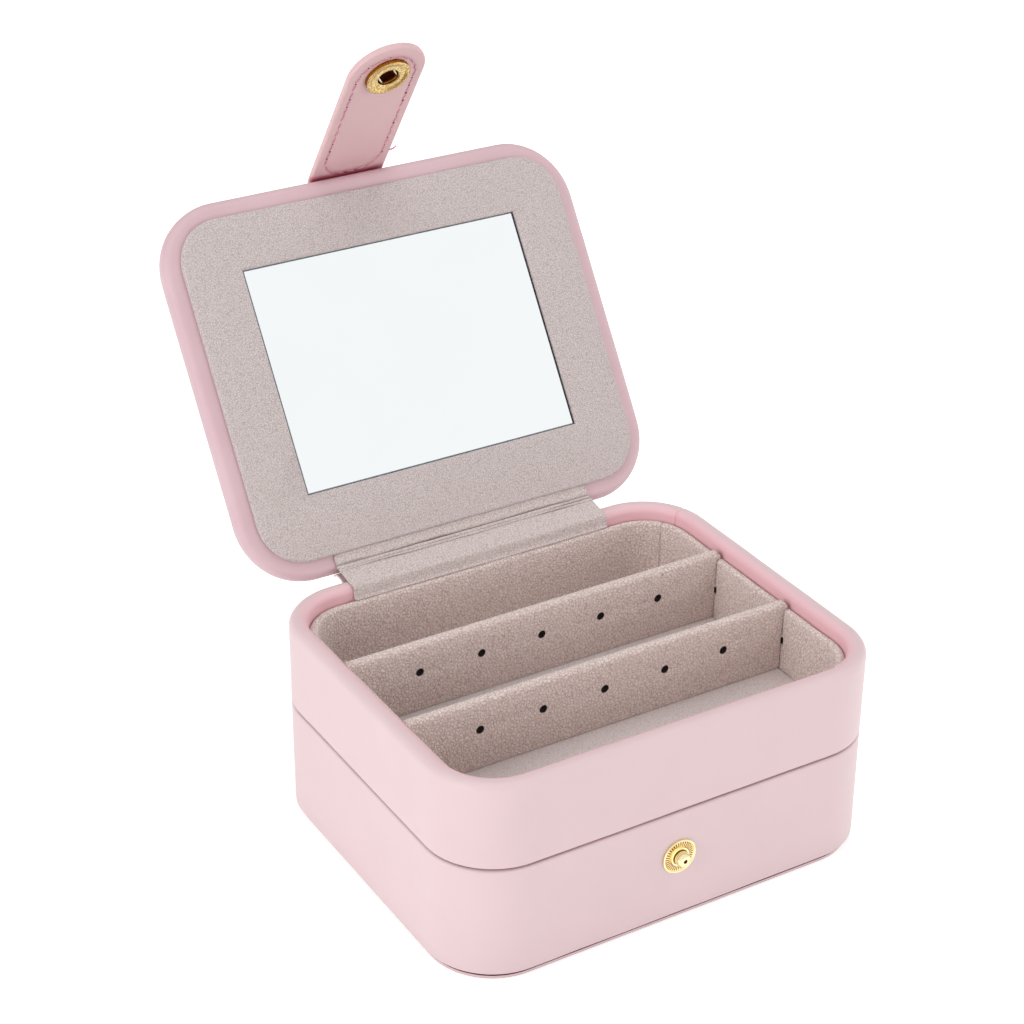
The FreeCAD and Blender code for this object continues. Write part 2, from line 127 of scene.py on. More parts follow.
# %% Colours and nodes
def linear(code):
    """An sRGB hex colour such as F0C6CF as linear RGBA."""
    channels = [int(code[i:i + 2], 16) / 255 for i in (0, 2, 4)]
    return tuple(c / 12.92 if c <= 0.04045 else ((c + 0.055) / 1.055) ** 2.4 for c in channels) + (1.0,)


def add_node(tree, kind, inputs=None, stops=(), **settings):
    """Adds a shader node, with its settings, inputs by name or number, and (place, hex) colour stops."""
    node = tree.nodes.new("ShaderNode" + kind)
    for key, value in settings.items():
        setattr(node, key, value)
    for key, value in (inputs or {}).items():
        if isinstance(value, bpy.types.Node):
            value = value.outputs[0]
        if isinstance(value, bpy.types.NodeSocket):
            tree.links.new(value, node.inputs[key])
        else:
            node.inputs[key].default_value = value
    for number, (place, code) in enumerate(stops):
        node.color_ramp.elements[number].position = place
        node.color_ramp.elements[number].color = linear(code)
    return node


# %% [markdown]
# Every material starts empty and reads Object coordinates, which are metres on the piece itself, so a
# pattern's scale comes from a real size. Some meshes are marked where shade falls, in creases, in a fold
# and in a deep corner, and a colour can go over to a deeper one there, as painted shade.

# %% Starts of a material
def new_material(name):
    """An empty material, with its tree and Object coordinates."""
    material = bpy.data.materials.new(name)
    material.use_nodes = True
    tree = material.node_tree
    tree.nodes.clear()
    return material, tree, add_node(tree, "TexCoord").outputs["Object"]


def shaded(tree, colour, deep):
    """A colour that goes over to a deeper one, painted shade, where the mesh's attribute shade marks it."""
    mark = add_node(tree, "Attribute", attribute_name="shade").outputs["Fac"]
    colour_a, colour_b, result = 6, 7, 2
    mix = add_node(tree, "Mix", {"Factor": mark, colour_a: colour, colour_b: linear(deep)}, data_type="RGBA")
    return mix.outputs[result]


def per_mm(size_mm):
    """Texture scale at which a pattern repeats about every size_mm on Object coordinates in metres."""
    return 1 / (size_mm * MM)


# %% [markdown]
# The photograph has a plain white ground. The floor is a matt white sheet that takes a soft shadow, and
# it glows a little for the camera, so that the ground stays white without more light on the case.

# %% Floor
FLOOR_SIZE = 6.0
FLOOR_GLOW = 0.55
FLOOR_DROP = mm(0.05)
WHITE = linear("FFFFFF")
PAPER = (0.86, 0.86, 0.86, 1)

bpy.ops.object.select_all(action="DESELECT")
bpy.ops.mesh.primitive_plane_add(size=FLOOR_SIZE, location=(0, 0, -FLOOR_DROP))
floor = bpy.context.object
floor.name = "floor"
paper, tree, _ = new_material("white paper")
rays = add_node(tree, "LightPath").outputs
seen = add_node(tree, "Math", {0: rays["Is Camera Ray"], 1: rays["Is Glossy Ray"]}, operation="MAXIMUM")
seen = add_node(tree, "Math", {0: seen, 1: rays["Is Transmission Ray"]}, operation="MAXIMUM")
glow = add_node(tree, "Math", {0: seen, 1: FLOOR_GLOW}, operation="MULTIPLY")
matt = add_node(tree, "BsdfDiffuse", {"Color": PAPER})
shine = add_node(tree, "Emission", {"Color": WHITE, "Strength": glow})
both = add_node(tree, "AddShader", {0: matt, 1: shine})
add_node(tree, "OutputMaterial", {"Surface": both})
floor.data.materials.append(paper)
print("floor %.0f m wide" % FLOOR_SIZE)

# %% [markdown]
# The light is that of a white photo tent, bright all round. Gilt and glass show the tent itself, a little
# darker towards the back, and the camera sees plain white behind the case.

# %% World
WORLD_LIGHT = 0.58
TENT_BACK = 0.6
TENT_FROM, TENT_TO = -0.3, 0.6

world = bpy.data.worlds.new("studio")
bpy.context.scene.world = world
world.use_nodes = True
tree = world.node_tree
tree.nodes.clear()
rays = add_node(tree, "LightPath").outputs
direction = add_node(tree, "SeparateXYZ", {0: add_node(tree, "TexCoord").outputs["Generated"]}).outputs
tent = add_node(tree, "MapRange", {"Value": direction["Y"], "From Min": TENT_FROM, "From Max": TENT_TO,
                                   "To Min": 1.0, "To Max": TENT_BACK})
inside = add_node(tree, "MapRange", {"Value": rays["Is Glossy Ray"], "To Min": WORLD_LIGHT, "To Max": tent})
seen = add_node(tree, "Math", {0: rays["Is Camera Ray"], 1: rays["Is Transmission Ray"]},
                operation="MAXIMUM")
level = add_node(tree, "MapRange", {"Value": seen, "To Min": inside, "To Max": 1.0})
sky = add_node(tree, "Background", {"Color": WHITE, "Strength": level})
add_node(tree, "OutputWorld", {"Surface": sky})
print("world light %.2f" % WORLD_LIGHT)

# %% [markdown]
# Four soft lamps shape the case, the strongest from the left. They don't show in the mirror or the gilt,
# because there the tent's even white is what one sees.

# %% Softboxes
CASE_MIDDLE = Vector(mm(0, 10, 50))


def softbox(name, place_mm, size_mm, watts):
    """A square studio lamp that points at the case."""
    data = bpy.data.lights.new(name, "AREA")
    data.size = mm(size_mm)
    data.energy = watts
    lamp = bpy.data.objects.new(name, data)
    bpy.context.scene.collection.objects.link(lamp)
    lamp.location = mm(*place_mm)
    lamp.rotation_euler = (CASE_MIDDLE - lamp.location).to_track_quat("-Z", "Y").to_euler()
    lamp.visible_glossy = False
    print("%-20s %.1f W" % (name, watts))


softbox("key from the left", (-880, -150, 300), 600, 3.8)
softbox("fill from the right", (850, -350, 250), 600, 1.8)
softbox("fill from the front", (200, -900, 160), 600, 2.1)
softbox("top", (60, 250, 950), 700, 2.5)

# %% [markdown]
# Coated leather cloth is a woven backing with a thin skin of soft plastic, embossed with a very fine
# grain. The eye sees an even pale pink with a satin sheen. The grain is finer than a pixel here, so it is
# drawn at 0.5 mm.

# %% Pink coated leather cloth
TONE_MM, WANDER_MM, GRAIN_MM = 14, 3.5, 0.5


def leather_cloth(name, dark, light, deep, gloss):
    """Leather cloth between two near shades, with a deeper one painted as shade on marked places."""
    material, tree, place = new_material(name)
    tone = add_node(tree, "TexNoise", {"Vector": place, "Scale": per_mm(TONE_MM), "Detail": 2.0})
    tint = add_node(tree, "ValToRGB", {0: tone}, stops=[(0.3, dark), (0.7, light)])
    grain = add_node(tree, "TexVoronoi", {"Vector": place, "Scale": per_mm(GRAIN_MM)}, feature="SMOOTH_F1")
    wander = add_node(tree, "TexNoise", {"Vector": place, "Scale": per_mm(WANDER_MM), "Detail": 2.0})
    low = add_node(tree, "Bump", {"Height": wander, "Strength": 0.12, "Distance": mm(0.25)})
    bump = add_node(tree, "Bump", {"Height": grain, "Strength": 0.12, "Distance": mm(0.05), "Normal": low})
    rough = add_node(tree, "MapRange", {"Value": grain, "To Min": gloss, "To Max": gloss + 0.1})
    shader = add_node(tree, "BsdfPrincipled", {"Base Color": shaded(tree, tint, deep), "Roughness": rough,
                                               "Specular IOR Level": 0.9, "Normal": bump})
    add_node(tree, "OutputMaterial", {"Surface": shader})
    return material


# The third colour of each is painted shade for marked places, such as the inside of the rims.
LEATHER = leather_cloth("pink coated leather cloth", "DDC3C6", "DFC5C7", "E8B9C0", 0.42)
# The lid's copy is the same leather painted darker, painted shade for the dimmer light on the open lid.
SHADED_LID_LEATHER = leather_cloth("pink coated leather cloth, lid", "CFAEB4", "D3B4BA", "CF9CA6", 0.42)
# The strap's deeper crimson is painted shade, where its lining folds at the root.
STRAP_LEATHER = leather_cloth("pink coated leather cloth, strap", "DAB4B7", "DDB8BA", "B84A62", 0.4)
print("leather finishes:", LEATHER.name, "/", SHADED_LID_LEATHER.name, "/", STRAP_LEATHER.name)

# %% [markdown]
# The linings are a short cotton velvet, glued on board. Its pile lies in little tufts, which the eye sees
# as light and dark pebbles about a millimetre wide, and it shines softly where it is seen edge on, which
# Sheen gives. A noise bends the cells of a Voronoi pattern, so that no tuft has straight sides.

# %% Greige velvet
STRAY, BEND, PILE = 0.8, 0.7, 0.4
PILE_WEIGHT = 0.45
# The deeper colour of the velvet is painted shade, for the creases of the hinge strip.
CREASE_SHADE_VELVET = "6E5750"


def velvet(name, dark, light, pebble_mm, depth_mm):
    """Velvet with pebbles of a width and depth. The noises are given as shares of that width."""
    material, tree, place = new_material(name)
    stray = add_node(tree, "TexNoise", {"Vector": place, "Scale": per_mm(pebble_mm * STRAY), "Detail": 2.0})
    bend = (mm(pebble_mm * BEND),) * 3
    bent = add_node(tree, "VectorMath", {0: stray.outputs["Color"], 1: bend, 2: place},
                    operation="MULTIPLY_ADD")
    tuft = add_node(tree, "TexVoronoi", {"Vector": bent, "Scale": per_mm(pebble_mm)},
                    feature="DISTANCE_TO_EDGE")
    pile = add_node(tree, "TexNoise", {"Vector": place, "Scale": per_mm(pebble_mm * PILE), "Detail": 2.0})
    height = add_node(tree, "Math", {0: pile, 1: PILE_WEIGHT, 2: tuft}, operation="MULTIPLY_ADD")
    tint = add_node(tree, "ValToRGB", {0: height}, stops=[(0.15, dark), (0.4, light)])
    bump = add_node(tree, "Bump", {"Height": height, "Strength": 1.0, "Distance": mm(depth_mm)})
    colour = shaded(tree, tint, CREASE_SHADE_VELVET)
    shader = add_node(tree, "BsdfPrincipled", {"Base Color": colour, "Roughness": 0.95,
                                               "Specular IOR Level": 0.1, "Sheen Weight": 0.4,
                                               "Sheen Roughness": 0.4, "Normal": bump})
    add_node(tree, "OutputMaterial", {"Surface": shader})
    return material


VELVET = velvet("greige velvet", "B69D95", "F0DFD9", 0.85, 0.55)
FLOOR_VELVET = velvet("greige velvet, floor pad", "C9BAB7", "E9DFDD", 0.6, 0.12)
PANEL_VELVET = velvet("greige velvet, lid panel", "A39593", "D2C7C5", 0.55, 0.14)
HINGE_VELVET = velvet("greige velvet, hinge", "AC9B96", "DACECB", 0.7, 0.2)
print("velvet finishes:", VELVET.name, "/", FLOOR_VELVET.name, "/", PANEL_VELVET.name, "/",
      HINGE_VELVET.name)

# %% [markdown]
# The snap is stamped brass with a pale gold plating, polished, so nearly all its look is reflection. The
# springs are drawn steel wire, the mirror is silvered float glass with a cut edge, and the hidden boards
# and foam are plain. One function serves them all: a colour that wanders a little, and a fine bump of the
# same grain.

# %% Gilt, steel, mirror, thread and hidden boards
def speckled(name, dark, light, grain_mm, metallic, roughness, bump_mm):
    """A finish whose colour wanders between two shades, with a bump of the same grain."""
    material, tree, place = new_material(name)
    grain = add_node(tree, "TexNoise", {"Vector": place, "Scale": per_mm(grain_mm), "Detail": 3.0})
    tint = add_node(tree, "ValToRGB", {0: grain}, stops=[(0.35, dark), (0.65, light)])
    bump = add_node(tree, "Bump", {"Height": grain, "Strength": 0.3, "Distance": mm(bump_mm)})
    shader = add_node(tree, "BsdfPrincipled", {"Base Color": tint, "Metallic": metallic,
                                               "Roughness": roughness, "Normal": bump})
    add_node(tree, "OutputMaterial", {"Surface": shader})
    return material


GILT = speckled("gilt brass, polished", "F4E7B0", "FAF0C8", 0.6, 1.0, 0.13, 0.02)
CAP_GILT = speckled("gilt brass, cap", "EBCB8A", "F3DAA2", 2.5, 1.0, 0.16, 0.01)
STAMPED_GILT = speckled("gilt brass, stamped", "BE9A58", "EFD698", 0.5, 1.0, 0.22, 0.2)
# This darker gilt is painted shade in the recesses of the stud and on the socket's sides and mouth.
GILT_SHADE = speckled("gilt brass, dark in the recess", "8A5418", "B5782C", 0.4, 1.0, 0.3, 0.05)
DULL_BRASS = speckled("brass inside the cap, dull", "6E3F16", "8A5420", 0.5, 1.0, 0.45, 0.05)
STEEL = speckled("drawn steel wire", "CFC6B0", "E6DEC8", 0.3, 1.0, 0.2, 0.01)
SILVER = speckled("silvered glass", "F4F7F8", "F5F8F9", 30.0, 1.0, 0.01, 0.0)
GLASS_EDGE = speckled("cut glass edge", "7F8A94", "9AA5AD", 0.8, 0.0, 0.15, 0.02)
THREAD = speckled("polyester sewing thread", "C47A90", "D692A5", 0.15, 0.0, 0.6, 0.05)
# This dark colour is painted shade in the needle holes.
NEEDLE_HOLE_SHADE = speckled("needle hole in leather", "3E1C28", "552C38", 0.3, 0.0, 0.9, 0.05)
# This dark crimson is painted shade in the seams: under the walls' feet and on the step above the plate.
SEAM_SHADE = speckled("turned-under edge of leather", "74243C", "86364E", 0.5, 0.0, 0.8, 0.05)
# This near black is painted shade inside the holes of the dividers and the slots of the lining.
HOLE_AND_SLOT_SHADE = speckled("raw edge of dark board", "241C1A", "352A27", 0.4, 0.0, 0.95, 0.1)
BOARD = speckled("grey board", "7E7974", "948F89", 0.5, 0.0, 0.9, 0.1)
FOAM = speckled("open foam", "DEDBCF", "ECEADF", 0.4, 0.0, 0.95, 0.2)
print("metal, glass, thread and board finishes made")

# %% [markdown]
# Pieces that nobody sees with the case whole keep the frame's solid and only take a finish: the boards
# under the leather, the foam in the lid and the rivet behind the stud. The other nodes get one too, and
# are replaced below.

# %% Finishes on the frame's own nodes
FINISH = {"pink_leather": LEATHER, "greige_velvet": VELVET, "wall_board": BOARD, "foam": FOAM,
          "mirror_glass": SILVER, "gilt_brass": GILT, "spring_steel": STEEL}
for row in frame["record"]["subparts"]:
    node = frame["nodes"][row["node"]]
    node.data.materials.clear()
    node.data.materials.append(FINISH[row["material_slot"]])
print("finished %d nodes" % len(frame["nodes"]))

# %% [markdown]
# Modelling by hand in Blender is: add a primitive, go into edit mode, select faces or edges, and use an
# operator on them. The helpers in the next cells do that in code. The first ones go in and out of edit
# mode, always with one piece selected, because an operator acts on all that is selected.

# %% In and out of edit mode
def leave_edit():
    """Goes back to object mode, if a piece is still being edited."""
    if bpy.context.mode != "OBJECT":
        bpy.ops.object.mode_set(mode="OBJECT")


def only(piece):
    """Makes one piece the only selected and active one, in object mode."""
    leave_edit()
    bpy.ops.object.select_all(action="DESELECT")
    piece.select_set(True)
    bpy.context.view_layer.objects.active = piece


def edit(piece):
    """Goes into edit mode with one piece."""
    only(piece)
    bpy.ops.object.mode_set(mode="EDIT")


def start(kind, name, scale=(1, 1, 1), **options):
    """Adds a primitive with nothing else selected, at its size and place, and goes into edit mode."""
    leave_edit()
    bpy.ops.object.select_all(action="DESELECT")
    getattr(bpy.ops.mesh, "primitive_%s_add" % kind)(**options)
    piece = bpy.context.object
    piece.name = piece.data.name = name
    piece.scale = scale
    bpy.ops.object.transform_apply()
    bpy.ops.object.mode_set(mode="EDIT")
    return piece


# %% [markdown]
# With a mouse one clicks on the faces or edges to work on. In code they are selected by a test on each of
# them, such as the way a face looks or the height at which an edge lies, so the line says what is picked
# and why.

# %% Picking faces and edges
UP, DOWN = (0, 0, 1), (0, 0, -1)
SHARP = math.radians(30)
FACING = 0.9


def pick(piece, kind, test):
    """In edit mode, selects only the elements of a kind, VERT, EDGE or FACE, that pass a test."""
    bpy.ops.mesh.select_mode(type=kind)
    bpy.ops.mesh.select_all(action="DESELECT")
    mesh = bmesh.from_edit_mesh(piece.data)
    mesh.normal_update()
    for element in {"VERT": mesh.verts, "EDGE": mesh.edges, "FACE": mesh.faces}[kind]:
        element.select_set(bool(test(element)))
    mesh.select_flush_mode()
    bmesh.update_edit_mesh(piece.data)


def every(element):
    """A test that everything passes."""
    return True


def crease_at(height):
    """A test for edges that lie at a height and where two faces meet sharply."""
    def test(edge):
        flat = all(abs(vertex.co.z - height) < TINY for vertex in edge.verts)
        return flat and len(edge.link_faces) == 2 and edge.calc_face_angle() > SHARP
    return test


def facing(direction, height=None):
    """A test for faces that look along a direction, and lie at a height if one is given."""
    def test(face):
        level = height is None or abs(face.calc_center_median().z - height) < TINY
        return level and face.normal.dot(Vector(direction)) > FACING
    return test


# %% [markdown]
# A few operators do most of the work here. Extrude draws a selection out, inset draws a ring of faces
# inside it, bevel rounds its edges over, and bisect cuts new edges where a plane crosses the piece.

# %% Operators in edit mode
def extrude(*move):
    """Extrudes what is selected, by a move in metres."""
    bpy.ops.mesh.extrude_region_move(TRANSFORM_OT_translate={"value": move})


def outward():
    """Turns all faces of a closed shape outwards."""
    bpy.ops.mesh.select_all(action="SELECT")
    bpy.ops.mesh.normals_make_consistent(inside=False)


def soften(piece, test, size, segments, **options):
    """Rounds over the edges that pass a test."""
    pick(piece, "EDGE", test)
    bpy.ops.mesh.bevel(offset=size, segments=segments, affect="EDGES", **options)


def ring_in(piece, test, width, lift=0):
    """Draws a ring of faces inside the faces that pass a test, and lifts what is left in the middle."""
    pick(piece, "FACE", test)
    bpy.ops.mesh.inset(thickness=width, depth=lift)


def cut(place, normal):
    """Cuts new edges round the whole piece where a plane crosses it."""
    bpy.ops.mesh.select_all(action="SELECT")
    bpy.ops.mesh.bisect(plane_co=place, plane_no=normal)


def finishes(piece, *materials):
    """Gives a piece its materials, the first for all its faces."""
    for material in materials:
        piece.data.materials.append(material)


def paint(piece, test, number):
    """Gives the faces that pass a test another of the piece's materials."""
    pick(piece, "FACE", test)
    piece.active_material_index = number
    bpy.ops.object.material_slot_assign()


# %% [markdown]
# Modifiers are applied as soon as they are added, so the mesh is final. A finished piece is smoothed,
# gets its material if it has none and the body that it moves with, and the nodes of the frame that it
# stands for are hidden.

# %% Finishing a piece
def modify(piece, kind, **settings):
    """Adds a modifier with its settings to a piece and applies it."""
    only(piece)
    modifier = piece.modifiers.new(kind.lower(), kind)
    for key, value in settings.items():
        setattr(modifier, key, value)
    bpy.ops.object.modifier_apply(modifier=modifier.name)


def settle(piece, matrix):
    """Moves a piece by a matrix and writes the move into its mesh."""
    only(piece)
    piece.matrix_world = matrix @ piece.matrix_world
    bpy.ops.object.transform_apply()


def dress(piece, material, slot, body, *nodes, angle=35):
    """Smooths a finished piece, gives it its material if it has none, fixes it to what it rides on and
    hides the nodes it stands for. The slot, the name of its finish, is not used.
    """
    only(piece)
    bpy.ops.object.shade_smooth_by_angle(angle=math.radians(angle))
    if not piece.data.materials:
        piece.data.materials.append(material)
    if body:
        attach(piece, body)
    if nodes:
        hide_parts(*nodes)
    print("%-22s %6d faces" % (piece.name, len(piece.data.polygons)))


# %% [markdown]
# Nearly every part of the case follows the same outline, a rectangle with round corners. It starts as a
# plane whose four corner points are bevelled. Drawn up, it is a slab, and a ring is the outline with its
# middle out.

# %% The case's outline as a start
def rounded_flat(name, width, depth, radius, height):
    """A flat face with round corners at a height, left in edit mode and selected."""
    piece = start("plane", name, size=1, location=(0, 0, height), scale=(width, depth, 1))
    pick(piece, "VERT", every)
    bpy.ops.mesh.bevel(offset=radius, segments=CORNER_STEPS, affect="VERTICES")
    pick(piece, "FACE", every)
    return piece


def outline_flat(name, inset, height):
    """The case's own outline, drawn in by an inset."""
    return rounded_flat(name, CASE_WIDTH - 2 * inset, CASE_DEPTH - 2 * inset, CORNER_RADIUS - inset, height)


def slab(name, inset, low, high):
    """The case's outline, drawn in by an inset, as a closed slab between two heights."""
    piece = outline_flat(name, inset, low)
    extrude(0, 0, high - low)
    outward()
    return piece


# %% [markdown]
# Leather and velvet are laid by hand, so no surface is quite flat, and the two ends of a covering meet in
# a fine sunk line. A surface needs points to bend at, so long edges are halved first. Displace with a
# cloud texture then gives the slow waves, and the line is cut by three planes and sunk along the middle
# one.

# %% Coverings laid by hand
JOIN_STEP = mm(0.4)


def shorten(piece, longest, rounds=5):
    """Halves the long edges until none is much longer than a length, so that a surface can bend."""
    for _ in range(rounds):
        pick(piece, "EDGE", lambda edge: edge.calc_length() > longest)
        bpy.ops.mesh.subdivide(number_cuts=1)


def hand_laid(piece, wander_mm, amount_mm):
    """Lets a surface wander a little, as leather or velvet that is laid by hand does."""
    texture = bpy.data.textures.new("hand laid", "CLOUDS")
    texture.noise_scale = mm(wander_mm)
    modify(piece, "DISPLACE", texture=texture, strength=mm(amount_mm), mid_level=0.5)


def sunk_join(piece, degrees, depth):
    """Sinks a fine upright line, the join of a covering, at an angle round the rear right corner."""
    edit(piece)
    angle = math.radians(degrees)
    centre = Vector((CASE_WIDTH / 2 - CORNER_RADIUS, CASE_DEPTH / 2 - CORNER_RADIUS, 0))
    across = Vector((-math.sin(angle), math.cos(angle), 0))
    for offset in (-JOIN_STEP, 0, JOIN_STEP):
        cut(centre + across * offset, across)
    pick(piece, "VERT", lambda vertex: abs((vertex.co - centre).dot(across)) < TINY
         and vertex.co.x > centre.x and vertex.co.y > centre.y)
    bpy.ops.transform.shrink_fatten(value=-depth)
    leave_edit()


# %% [markdown]
# The inside of a rim lies in deeper, warmer shade than its top. The mesh is marked with how far each of
# its points lies inside the outline, and the material mixes in a deeper colour there. The mark is a part of
# the mesh, so it moves with the piece.

# %% Marks for painted shade
def mark_shade(piece, amount):
    """Marks a mesh with the attribute shade, by a function of each point's place."""
    shade = piece.data.attributes.new("shade", "FLOAT", "POINT")
    for vertex, item in zip(piece.data.vertices, shade.data):
        item.value = min(max(amount(vertex.co), 0), 1)


def inside_outline(spot):
    """How far a spot lies inside the case's outline."""
    over_x = abs(spot.x) - CASE_WIDTH / 2 + CORNER_RADIUS
    over_y = abs(spot.y) - CASE_DEPTH / 2 + CORNER_RADIUS
    return CORNER_RADIUS - math.hypot(max(over_x, 0), max(over_y, 0)) - min(max(over_x, over_y), 0)


# %% [markdown]
# Each tray's wall is a board ring with leather wrapped over it: up the outside, over the rim and down
# inside. A plain solid would show hard board edges, so the skin is drawn as the maker lays it: an upside-
# down U with a soft rim, and a lip turned under at the foot. Solidify then gives the skin its thickness,
# inwards.

# %% Leather walls of the two trays
LEATHER_SKIN = mm(0.7)
TURN_IN = mm(8)
UNDER_LIP = mm(3)
WALL_NET = mm(5)
WALL_JOIN_DEG, WALL_JOIN_DEPTH = 21, mm(0.3)
RIM_SHADE_START, RIM_SHADE_WIDTH = mm(2.0), mm(2.4)


def leather_wall(name, rim_round, foot_round, foot_gap, body):
    """The leather round one tray, with the roundings of its rim and foot and a gap under it."""
    low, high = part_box(name)
    foot, rim = low.z + foot_gap, high.z
    piece = slab(name + "_leather", 0, foot, rim)
    finishes(piece, LEATHER, SEAM_SHADE)
    ring_in(piece, facing(UP), WALL)
    extrude(0, 0, -TURN_IN)
    bpy.ops.mesh.delete(type="FACE")
    ring_in(piece, facing(DOWN, foot), UNDER_LIP)
    bpy.ops.mesh.delete(type="FACE")
    # Faces that look down at the foot take the dark crimson, painted shade in the seam under the wall.
    paint(piece, facing(DOWN, foot), 1)
    soften(piece, crease_at(rim), rim_round, 6)
    soften(piece, crease_at(foot), foot_round, 4)
    # So do the faces of the rounded foot that look down.
    paint(piece, lambda face: face.normal.z < -0.5, 1)
    shorten(piece, WALL_NET)
    hand_laid(piece, 18, 0.16)
    sunk_join(piece, WALL_JOIN_DEG, WALL_JOIN_DEPTH)
    modify(piece, "SOLIDIFY", thickness=LEATHER_SKIN, offset=-1)
    # The inside of the rim is marked for the deeper pink, painted shade.
    mark_shade(piece, lambda spot: (inside_outline(spot) - RIM_SHADE_START) / RIM_SHADE_WIDTH
               if spot.z > rim - TURN_IN else 0)
    dress(piece, LEATHER, "pink_leather", body, name)


leather_wall("base_cover", mm(0.8), mm(0.5), 0, "base")
leather_wall("middle_cover", mm(1.8), mm(0.45), mm(0.2), "middle_tray")

# %% [markdown]
# Under the bottom tray is a board covered with the same leather, set in a little under the walls, with a
# step above it painted dark, a painted shadow that makes the thin line at the foot. It is a slab, and a
# smaller step on top of it.

# %% Plate under the case
PLATE_INSET = mm(1.1)
PLATE_EDGE = mm(0.85)
PLATE_STEP = mm(0.8)
PLATE_ROUND = mm(0.2)
PLATE_RING = mm(4)
plate_low, plate_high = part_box("base_plate")
step_height = plate_low.z + PLATE_EDGE
plate = slab("base_plate_leather", PLATE_INSET, plate_low.z, step_height)
finishes(plate, LEATHER, SEAM_SHADE)
ring_in(plate, facing(UP), PLATE_STEP)
extrude(0, 0, plate_high.z - step_height)
# The step's faces are painted dark crimson, painted shade above the plate.
paint(plate, lambda face: face.calc_center_median().z > step_height - TINY, 1)
soften(plate, crease_at(plate_low.z), PLATE_ROUND, 2)
ring_in(plate, facing(DOWN, plate_low.z), PLATE_RING)
dress(plate, LEATHER, "pink_leather", "base", "base_plate")

# %% [markdown]
# A leather facing closes the middle tray's floor from below, glued over the lip that is turned under
# there. It shows when the tray is swung up. It is a thin slab with its lower edge softened.

# %% Facing under the middle tray
UNDER_INSET = mm(0.9)
UNDER_ROUND = mm(0.35)
UNDER_RING = mm(0.3)
under_low, under_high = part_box("middle_underside")
underside = slab("middle_underside_leather", UNDER_INSET, under_low.z, under_high.z)
soften(underside, crease_at(under_low.z), UNDER_ROUND, 3)
ring_in(underside, facing(DOWN, under_low.z), UNDER_RING)
dress(underside, LEATHER, "pink_leather", "middle_tray", "middle_underside")

# %% [markdown]
# Inside each tray stands a ring of board covered with velvet. Its top edge is what one sees most, soft
# and a little fuzzy, so it is bevelled round.

# %% Velvet wall linings
LINING_LOW = mm(0.35)
LINING_GAP = mm(0.15)
LINING_ROUND = mm(1.0)
LINING_NET = mm(6)


def lining_ring(name):
    """A ring of velvet-covered board along the inside of a tray's wall, a little lower than its node."""
    low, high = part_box(name)
    top = high.z - LINING_LOW
    piece = outline_flat(name + "_velvet", WALL + LINING_GAP, low.z)
    ring_in(piece, every, LINING_INSET - WALL - LINING_GAP)
    bpy.ops.mesh.delete(type="FACE")
    pick(piece, "FACE", every)
    extrude(0, 0, top - low.z)
    outward()
    soften(piece, crease_at(top), LINING_ROUND, 4)
    shorten(piece, LINING_NET)
    hand_laid(piece, 7, 0.2)
    finishes(piece, VELVET)
    return piece


base_lining = lining_ring("base_wall_lining")
middle_lining = lining_ring("middle_wall_lining")
dress(base_lining, VELVET, "greige_velvet", "base", "base_wall_lining")

# %% [markdown]
# In the middle tray the ring has a slot for each end of the two dividers, open at the top and a little
# wider at its foot, and one upright join of the velvet in the rear right corner. A Boolean cuts the
# slots, and the cut faces are painted near black, painted shade inside the slots.

# %% Slots in the middle lining
EAR_HEIGHT = mm(9.5)
SLOT_GAP, NOTCH_GAP = mm(0.25), mm(0.6)
SLOT_BELOW_EAR, NOTCH_ABOVE_FOOT = mm(1.8), mm(0.1)
LINING_JOIN_DEG, LINING_JOIN_DEPTH = 35, mm(0.35)


def carve(piece, cutter, finish):
    """Cuts one shape out of a piece, with a finish on the cut, and throws the cutter away."""
    finishes(cutter, finish)
    modify(piece, "BOOLEAN", operation="DIFFERENCE", object=cutter, solver="EXACT", material_mode="TRANSFER")
    bpy.data.objects.remove(cutter)


def block(name, low, high):
    """A block between two corners, left in edit mode."""
    low, high = Vector(low), Vector(high)
    return start("cube", name, size=1, location=(low + high) / 2, scale=high - low)


for name in ("earring_divider_front", "earring_divider_rear"):
    low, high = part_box(name)
    ear_foot = high.z - EAR_HEIGHT
    for front_gap, top in ((SLOT_GAP, MIDDLE_RIM), (NOTCH_GAP, ear_foot + NOTCH_ABOVE_FOOT)):
        slot = block("slot", (CASE_LOW.x, low.y - front_gap, ear_foot - SLOT_BELOW_EAR),
                     (CASE_HIGH.x, high.y + SLOT_GAP, top))
        carve(middle_lining, slot, HOLE_AND_SLOT_SHADE)
sunk_join(middle_lining, LINING_JOIN_DEG, LINING_JOIN_DEPTH)
dress(middle_lining, VELVET, "greige_velvet", "middle_tray", "middle_wall_lining")

# %% [markdown]
# The floors are thin velvet-covered pads, dropped in between the linings. They are slabs of the outline,
# with their top edges rounded over, and they lie flat.

# %% Velvet floor pads
PAD_ROUND = mm(0.25)
PAD_RING = mm(0.2)


def floor_pad(name, body):
    """A velvet pad that fills the floor of one tray."""
    low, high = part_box(name)
    piece = slab(name + "_velvet", LINING_INSET + FLOOR_CLEARANCE, low.z, high.z)
    soften(piece, crease_at(high.z), PAD_ROUND, 3)
    ring_in(piece, facing(UP), PAD_RING)
    dress(piece, FLOOR_VELVET, "greige_velvet", body, name)


floor_pad("base_floor_lining", "base")
floor_pad("middle_floor_lining", "middle_tray")

# %% [markdown]
# The two earring dividers are velvet-covered boards with a row of holes for hooks. Each has an ear at
# both ends that drops into a slot. One is modelled from a block: a cut at the ears' lower edge, the ends
# above it drawn out, and the top and foot rounded over.

